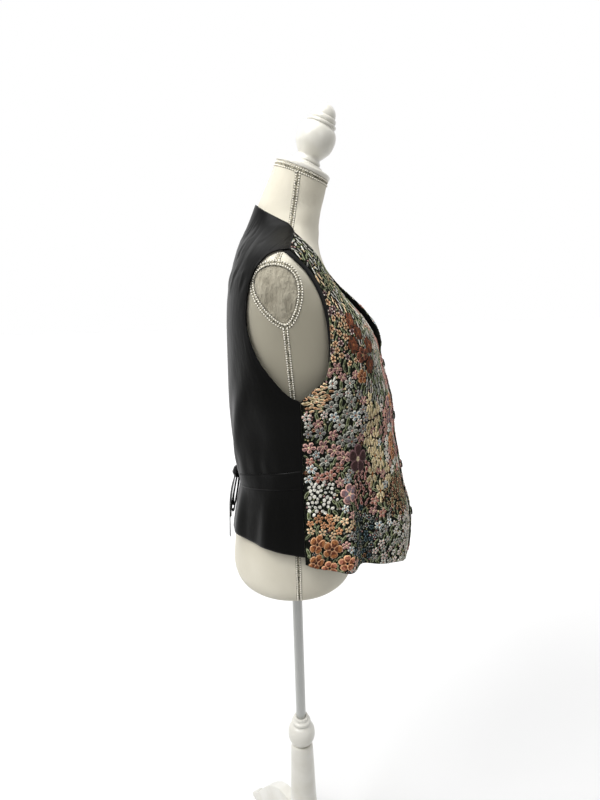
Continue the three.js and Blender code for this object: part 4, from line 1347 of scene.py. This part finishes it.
def motif_shape(kind):
    """Points within a circle of diameter 1 with a rise of 1, faces, and which thread each has."""
    if kind == "dot":
        rim = petal_rim(6, -0.5, 0.5, 0.5, 0)
        points, faces, shades, count = ringed_petal(rim, (1, 0.55), (0, 1), (1,), -1)
        return points, faces + [tuple(reversed(range(count, 2 * count)))], [*shades, 0]
    if kind in ("leaf", "stroke", "laid", "spray"):
        rim = petal_rim(6, -0.5, 0.5, 0.16 if kind in ("leaf", "spray") else 0.2, 0)
        rim = rim[:, ::-1] * (-1, 1) if kind == "laid" else rim
        points, faces, shades, _ = ringed_petal(rim, (1, 0.6), (0, 1), (0,), -1)
        return points, faces + [(9, 8, 7, 6), (6, 11, 10, 9)], shades + [1, 2]
    if kind == "floret":
        parts = []
        for k in range(5):
            petal = np.array([(0, 0.1, 0.3), (0.19, 0.33, 0), (0, 0.5, 0), (-0.19, 0.33, 0), (0, 0.32, 1)])
            corners = [(0, 1, 4), (1, 2, 4), (2, 3, 4), (3, 0, 4)]
            parts.append((turned_round(petal, k * 2 * math.pi / 5), corners, [2, 0, 1, 2]))
        parts.append(dome(5, 0.12, 0.9, 3))
        return joined(parts)
    parts = []
    petals = 6 if kind == "lily" else 5
    for k in range(petals):
        if kind == "bloom":
            rim = petal_rim(12, 0.05, 0.5, 0.19, 0.35)
            petal, faces, shades, count = ringed_petal(
                rim, (1, 0.78, 0.45, 0.12), (0, 0.75, 1, 0.9), (0, 1, 1), 0.27
            )
            petal[:, 2] += 0.15 * (k % 2)
            faces.append(tuple(reversed(range(3 * count, 4 * count))))
            shades.append(1)
        else:
            half = 0.11 if kind == "lily" else 0.155
            rim = petal_rim(6, 0.07, 0.5, half, 0.25)
            petal, faces, shades, count = ringed_petal(rim, (1, 0.6), (0, 1), (0,), 0)
            faces += [(7, 6, 11), (8, 7, 11, 10), (9, 8, 10)]
            shades += [2, 1, 1]
        parts.append((turned_round(petal, k * 2 * math.pi / petals), faces, shades))
    parts.append(dome(5 if kind != "bloom" else 10, 0.09, 1.1, 3))
    return joined(parts)


def tangent_frame(side, across, row, out):
    """Places, directions round and up the cloth, and what moves them in across and row."""
    step_across, step_row = 0.004, 0.05
    place = front_point(side, across, row, out)
    by_across = front_point(side, across + step_across, row, out)
    by_across -= front_point(side, across - step_across, row, out)
    by_row = front_point(side, across, row + step_row, out)
    by_row -= front_point(side, across, row - step_row, out)
    by_across /= 2 * step_across
    by_row /= 2 * step_row
    normal = np.cross(by_across, by_row)
    normal *= (-1 if side == "left" else 1) / np.linalg.norm(normal, axis=-1, keepdims=True)
    upward = np.array([0.0, 0.0, 1.0]) - normal[..., 2:] * normal
    upward /= np.linalg.norm(upward, axis=-1, keepdims=True)
    return place, np.cross(upward, normal), upward, by_across, by_row


def scatter_motifs(side, dice):
    """Motifs are dropped at random in their beds and kept where nothing lies too near."""
    kept = []
    spots, halves, count = np.empty((MOST_MOTIFS, 3)), np.empty((MOST_MOTIFS, 2)), 0
    for kind, bed_angle, bed_height, reach_round, reach_up, size, stretch, names in BEDS:
        tries = int(min(TRIES["most"], TRIES["least"] + TRIES["per_area"] / size**2))
        across = dice.uniform(0.0, 1.0, tries)
        row = dice.uniform(0.0, LOWER_ROWS + FRONT_UPPER_ROWS, tries)
        angle, height = front_place(across, row)
        round_share = (np.degrees(angle) - bed_angle) / reach_round
        up_share = (height - bed_height) / reach_up
        inside = round_share**2 + up_share**2 < 1 + 0.25 * dice.standard_normal(tries)
        seam = front_point(side, across, row, np.zeros(tries))[:, 1] > SIDE_SEAM_Y - SEAM_STRIP
        seam = seam & (height < SEAM_STRIP_TOP)
        across, row = across[inside & ~seam], row[inside & ~seam]
        points = front_point(side, across, row, np.full(len(across), GROUND_OUT))
        near = MOTIFS[kind][1]
        for k, point in enumerate(points):
            own = size * dice.uniform(0.88, 1.12)
            half = np.array([own / math.sqrt(stretch), own * math.sqrt(stretch)]) / 2 * near
            apart = spots[:count] - point
            reach = halves[:count] + half
            level = (apart[:, 0] ** 2 + apart[:, 1] ** 2) / reach[:, 0] ** 2
            if count and (level + (apart[:, 2] / reach[:, 1]) ** 2).min() < 1:
                continue
            spots[count], halves[count] = point, half
            count += 1
            colours = BLOSSOMS[dice.choice(names.split())]
            turn = dice.uniform(-1, 1) * MOTIFS[kind][2]
            kept.append((kind, across[k], row[k], own, turn, stretch, colours))
    return kept


def woven_threads():
    """Matt cotton and viscose threads in each face's own colour, ribbed crosswise."""
    finish, tree, shader = new_finish("woven_threads", (0.4, 0.3, 0.2), 0.8)
    thread = marked(tree, "thread", "Color")
    where = node(tree, "ShaderNodeTexCoord").outputs["Object"]
    yarn = grain(tree, where, 2.0, stretch=(330, 330, 1100))
    shade = node(tree, "ShaderNodeMapRange", Value=yarn)
    set_ramp(shade, (0.36, 0.6), (0.42, 1.3))
    multiplied = {"data_type": "RGBA", "blend_type": "MULTIPLY"}
    tint = node(tree, "ShaderNodeMix", multiplied, Factor=1.0, i6=thread, i7=shade.outputs[0])
    tree.links.new(tint.outputs[2], shader.inputs["Base Color"])
    relief(tree, shader, yarn, 0.6, 0.0004)
    shader.inputs["Specular IOR Level"].default_value = 0.2
    return finish


def steps_along(move, by_across, by_row):
    """How far a move on the cloth goes in across and in row, and the cloth's stretch in both."""
    aa = (by_across * by_across).sum(-1)
    ar = (by_across * by_row).sum(-1)
    rr = (by_row * by_row).sum(-1)
    ma = (move * by_across).sum(-1)
    mr = (move * by_row).sum(-1)
    scale = aa * rr - ar * ar
    return (ma * rr - mr * ar) / scale, (mr * aa - ma * ar) / scale, np.sqrt(aa), np.sqrt(rr)


threads = woven_threads()
shapes = {kind: motif_shape(kind) for kind in MOTIFS}
flower_pieces = {}
for side, seed in {"right": 11, "left": 29}.items():
    dice = np.random.default_rng(seed)
    motifs = scatter_motifs(side, dice)
    all_points, all_faces, all_colours, start = [], [], [], 0
    for kind, (rise, _, _) in MOTIFS.items():
        chosen = [motif for motif in motifs if motif[0] == kind]
        across, row, size, turn, stretch = (np.array([m[k] for m in chosen])[:, None] for k in range(1, 6))
        shape_points, shape_faces, shape_shades = shapes[kind]
        out = np.full(across.shape, GROUND_OUT)
        place, e_round, e_up, by_across, by_row = tangent_frame(side, across, row, out)
        warp = 1 + 0.09 * dice.standard_normal((2, len(chosen), 1))
        skew = 0.12 * dice.standard_normal((len(chosen), 1))
        own_x = warp[0] * shape_points[:, 0] + skew * shape_points[:, 1]
        own_y = warp[1] * shape_points[:, 1]
        x = size * (own_x * np.cos(turn) - own_y * np.sin(turn)) / np.sqrt(stretch)
        y = size * (own_x * np.sin(turn) + own_y * np.cos(turn)) * np.sqrt(stretch)
        move = x[..., None] * e_round + y[..., None] * e_up
        step_across, step_row, wide, tall = steps_along(move, by_across, by_row)
        to_across = across + step_across
        to_row = row + step_row
        free_side = (to_row > LOWER_ROWS) & (to_row < LOWER_ROWS + FRONT_UPPER_ROWS)
        beyond = np.maximum(to_across - 1, 0) + np.maximum(-to_across, 0) * free_side
        beyond = beyond * wide + np.maximum(-to_row, 0) * tall
        folded = np.clip(beyond, 0, TURNED_UNDER)
        to_across = np.clip(to_across, -OVER_EDGE / wide * free_side, 1 + OVER_EDGE / wide)
        to_row = np.clip(to_row, -OVER_EDGE / tall, LOWER_ROWS + FRONT_UPPER_ROWS)
        puff = rise * np.clip(0.6 + size / 40, 0.6, 1.3) * shape_points[:, 2]
        lift = GROUND_OUT + FLOWER_SEAT + puff * (1 - folded / TURNED_UNDER) - folded
        points = front_point(side, to_across, to_row, lift)
        # At the panel join a motif that would tear is laid flat on its own middle, and elsewhere
        # it is left out.
        span = np.linalg.norm(points - place, axis=-1).max(axis=1, keepdims=True)
        reach = 0.5 * size * np.sqrt(stretch)
        torn = span > TEAR["share"] * reach + TEAR["room"]
        from_edge = np.minimum(across, 1 - across) * wide
        from_join = np.abs(place[..., 2] - PANEL_JOIN["height"])
        calm = (from_edge > reach) & (from_join < PANEL_JOIN["reach"])
        flat = place + move + (FLOWER_SEAT + puff)[..., None] * np.cross(e_round, e_up)
        points = np.where((torn & calm)[..., None], flat, points)
        whole = (~torn | calm)[:, 0]
        points = points[whole]
        chosen = [motif for motif, fits in zip(chosen, whole) if fits]
        all_points.append(points.reshape(-1, 3))
        per = len(shape_points)
        for k, motif in enumerate(chosen):
            tint = dice.uniform(0.75, 1.2)
            first_point = start + k * per
            all_faces += [tuple(first_point + v for v in face) for face in shape_faces]
            colours = [THREADS[name] for name in motif[6]]
            all_colours += [(*(tint * c for c in colours[shade]), 1) for shade in shape_shades]
        start += per * len(chosen)
    piece = new_mesh_piece(
        f"tapestry_flowers_{side}", np.concatenate(all_points), all_faces, threads
    )
    colour_layer = piece.data.attributes.new("thread", "FLOAT_COLOR", "FACE")
    colour_layer.data.foreach_set("color", np.array(all_colours).reshape(-1))
    flower_pieces[side] = piece

# ---- Vest facings ----
# Strips of black lining finish the armholes and the left front's neck edge from inside. They
# roll out a little past the tapestry's edge.
ARM_FACING = {"from": 0.3, "to": 0.99, "low_width": 1.2, "high_width": 11}


def arm_facing_place(share, along):
    arm_y, arm_z = armhole_front(along)
    grown = (along - ARM_FACING["from"]) / (ARM_FACING["to"] - ARM_FACING["from"])
    width = mix(ARM_FACING["low_width"], ARM_FACING["high_width"], grown)
    height = arm_z + share * width * 0.2
    return angle_at_y(arm_y + 1.5 * SEAM_GAP + share * width, height), height


for side in ("right", "left"):
    alongs = np.linspace(ARM_FACING["from"], ARM_FACING["to"], 60)
    share_grid, along_grid = np.meshgrid(np.linspace(0, 1, 7), alongs)
    angle, height = arm_facing_place(share_grid, along_grid)
    angle = angle if side == "right" else 3 * math.pi - angle
    roll = 0.5 * np.sin(share_grid * math.pi)
    sheet = vest_point(angle, height, CLOTH_CLEARANCE + 0.7 + roll)
    sheet = sheet[:, ::-1] if side == "right" else sheet
    piece = cloth_piece(f"arm_facing_strip_{side}", sheet, 0.8, [lining], (0.01, 0.17))
    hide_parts(f"arm_facing_{side}")

neck_rows = np.linspace(LOWER_ROWS + 1, LOWER_ROWS + 9, 60)
across_grid, row_grid = np.meshgrid(np.linspace(0.85, 1, 13), neck_rows)
neck_sheet = front_point("left", across_grid, row_grid, np.full(across_grid.shape, CLOTH_CLEARANCE - 0.5))
piece = cloth_piece("neck_facing_strip", neck_sheet, 0.8, [lining], (0.03, 0.14))
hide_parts("neck_facing_left")

# ---- Buttons ----
# Four plain black pressed buttons close the lap. Each has a rounded rim round a shallow dish.
BUTTON_TOP = 1168
BUTTON_SPACING = 92
BUTTON_PROFILE = [
    (5.2, 0),
    (6.6, 0.3),
    (7.4, 1.1),
    (7.4, 1.9),
    (6.7, 2.8),
    (6.0, 3.0),
    (5.3, 2.7),
    (4.6, 2.2),
    (1.5, 2.1),
]


def polished_black():
    """Black plastic with a polished face."""
    finish, _, shader = new_finish("button_plastic", (0.008, 0.008, 0.009), 0.22)
    shader.inputs["Specular IOR Level"].default_value = 0.5
    return finish


button_plastic = polished_black()
for number in range(4):
    height = np.array([BUTTON_TOP - BUTTON_SPACING * number], dtype=float)
    angle = 3 * math.pi - angle_at_x(0, height)
    out = CLOTH_CLEARANCE + TAPESTRY_WALL + LAP_LIFT + SEAM_GAP
    seat = vest_point(angle, height, out)[0]
    outward = vest_point(angle, height, out + 1)[0] - seat
    piece = turned_piece(f"round_button_{number + 1}", BUTTON_PROFILE, bored=False)
    turn = Vector(outward).to_track_quat("Z", "Y").to_matrix().to_4x4()
    piece.data.transform(Matrix.Translation(Vector(placed(seat))) @ turn)
    piece.data.materials.append(button_plastic)
    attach(piece, "root")
    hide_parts(f"button_{number + 1}")

# ---- Half belts ----
# Two strips of the back's satin, turned in and stitched along both edges. They are sewn in at
# the side seams and slope down to the knot, where they are gathered.
BELT = {"seam_z": 1024, "knot_z": 980, "seam_half": 15, "knot_half": 10, "end": 0.045}
BELT_CLEARANCE = 1.1
BELT_WALL = 1.4
BELT_OUT = CLOTH_CLEARANCE + SATIN_WALL + BELT_CLEARANCE + BELT_WALL / 2
along_grid, up_grid = np.meshgrid(np.linspace(0, 1, 120), np.linspace(-1, 1, 15))
half_width = mix(BELT["seam_half"], BELT["knot_half"], along_grid)
height = mix(BELT["seam_z"], BELT["knot_z"], along_grid**1.4) + up_grid * half_width
angle = mix(angle_at_y(SIDE_SEAM_Y + 2, height), math.pi / 2 + BELT["end"], along_grid)
gather = 0.9 * np.sin(up_grid * 9) * smooth_step(0.72, 1, along_grid)
slack = 0.5 * np.sin(along_grid * 11 + up_grid) * (1 - up_grid**2)
hemmed = 0.35 * (np.abs(up_grid) > 0.8) * (np.abs(up_grid) < 0.98)
belt_out = BELT_OUT + gather + slack + hemmed
for side in ("right", "left"):
    turned = angle if side == "right" else math.pi - angle
    sheet = vest_point(turned, height, belt_out)
    sheet = sheet[:, ::-1] if side == "right" else sheet
    piece = cloth_piece(f"half_belt_{side}", sheet, 1.0, [satin], (0.24, 0.03))
    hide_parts(f"belt_{side}")

# ---- Bow ----
# The belts' tapered ends are tied in a limp bow: a wrapped knot, two hanging loops and two ends.
KNOT = (13, 8, 11)
KNOT_SINK = 1
KNOT_RINGS = 25
KNOT_SIDES = 48
RIBBON_STEPS = 60
SHORT_END = 0.76  # the left tie end's length, as a share of the right one's
BOW_WIDTH = 12
BOW_PATHS = {
    "bow_loop": [
        (-6.8, -2.5, 0.4),
        (-9, 0.5, -20),
        (-12, 5, -42),
        (-13, 8.5, -57),
        (-13, 12, -58),
        (-12, 11.5, -45),
        (-9, 6.5, -22),
        (-6.8, 1.2, 0.4),
    ],
    "tie_end": [
        (-6.8, 4.8, 2.2),
        (-8, 11, -26),
        (-9, 16.5, -66),
        (-9, 19, -110),
    ],
}
BOW_LENGTHS = {"bow_loop": 0.125, "tie_end": 0.12}
knot_out = CLOTH_CLEARANCE + SATIN_WALL + BELT_CLEARANCE + BELT_WALL + KNOT[1] - KNOT_SINK
knot_centre = vest_point(np.array([math.pi / 2]), np.array([BELT["knot_z"] - 2.0]), knot_out)[0]
knot_turns = np.linspace(0, 2 * math.pi, KNOT_SIDES + 1)[:-1]
turn_grid, rise_grid = np.meshgrid(knot_turns, np.linspace(-1.45, 1.45, KNOT_RINGS))
wrap = 1 + 0.05 * np.sin(5 * turn_grid + 2.5 * rise_grid) + 0.05 * np.cos(7 * rise_grid)
knot_points = np.stack(
    [
        KNOT[0] * wrap * np.cos(rise_grid) * np.cos(turn_grid),
        KNOT[1] * wrap * np.cos(rise_grid) * np.sin(turn_grid),
        KNOT[2] * np.sin(rise_grid) * (1 + 0.03 * np.sin(3 * turn_grid)),
    ],
    axis=-1,
)
knot_rows = knot_points + knot_centre
ends = knot_rows[[0, -1]].mean(axis=1)
knot_faces = grid_faces(KNOT_RINGS, KNOT_SIDES, True)
foot, head = KNOT_RINGS * KNOT_SIDES, KNOT_RINGS * KNOT_SIDES + 1
for k in range(KNOT_SIDES):
    beside = (k + 1) % KNOT_SIDES
    knot_faces.append((beside, k, foot))
    knot_faces.append((foot - KNOT_SIDES + k, foot - KNOT_SIDES + beside, head))
knot_mesh = np.concatenate([knot_rows.reshape(-1, 3), ends])
knot = new_mesh_piece("bow_knot", knot_mesh, knot_faces, satin)
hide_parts("belt_knot")

for name, rows in BOW_PATHS.items():
    for side, to_side in {"right": 1, "left": -1}.items():
        length = SHORT_END if (side, name) == ("left", "tie_end") else 1
        under_knot = knot_centre - np.array([0, 0, KNOT[2] + SEAM_GAP])
        points = np.array([(x * to_side, y, z * length if z < 0 else z) for x, y, z in rows]) + under_knot
        chord = np.concatenate([[0], np.cumsum(np.linalg.norm(np.diff(points, axis=0), axis=1))])
        read = smooth_table(np.column_stack([chord, points]))
        path = np.stack(read(np.linspace(0, chord[-1], RIBBON_STEPS)), axis=1)
        across = np.array([1, 0.15 * to_side, 0]) / math.hypot(1, 0.15)
        forward = np.gradient(path, axis=0)
        facing = np.cross(across, forward)
        facing /= np.linalg.norm(facing, axis=1, keepdims=True)
        share = np.linspace(-1, 1, 9)[None, :, None]
        curl = 0.7 * np.sin(np.linspace(0, 5, RIBBON_STEPS))[:, None, None] * (share**2 - 0.4)
        sheet = path[:, None] + share * across * BOW_WIDTH / 2 + (0.5 + curl) * facing[:, None]
        piece = cloth_piece(f"{name}_ribbon_{side}", sheet, 1.0, [satin], (0.012, 0.12))
        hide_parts(f"{name}_{side}")
        flat = (BOW_WIDTH * MM, BOW_LENGTHS[name] * length)
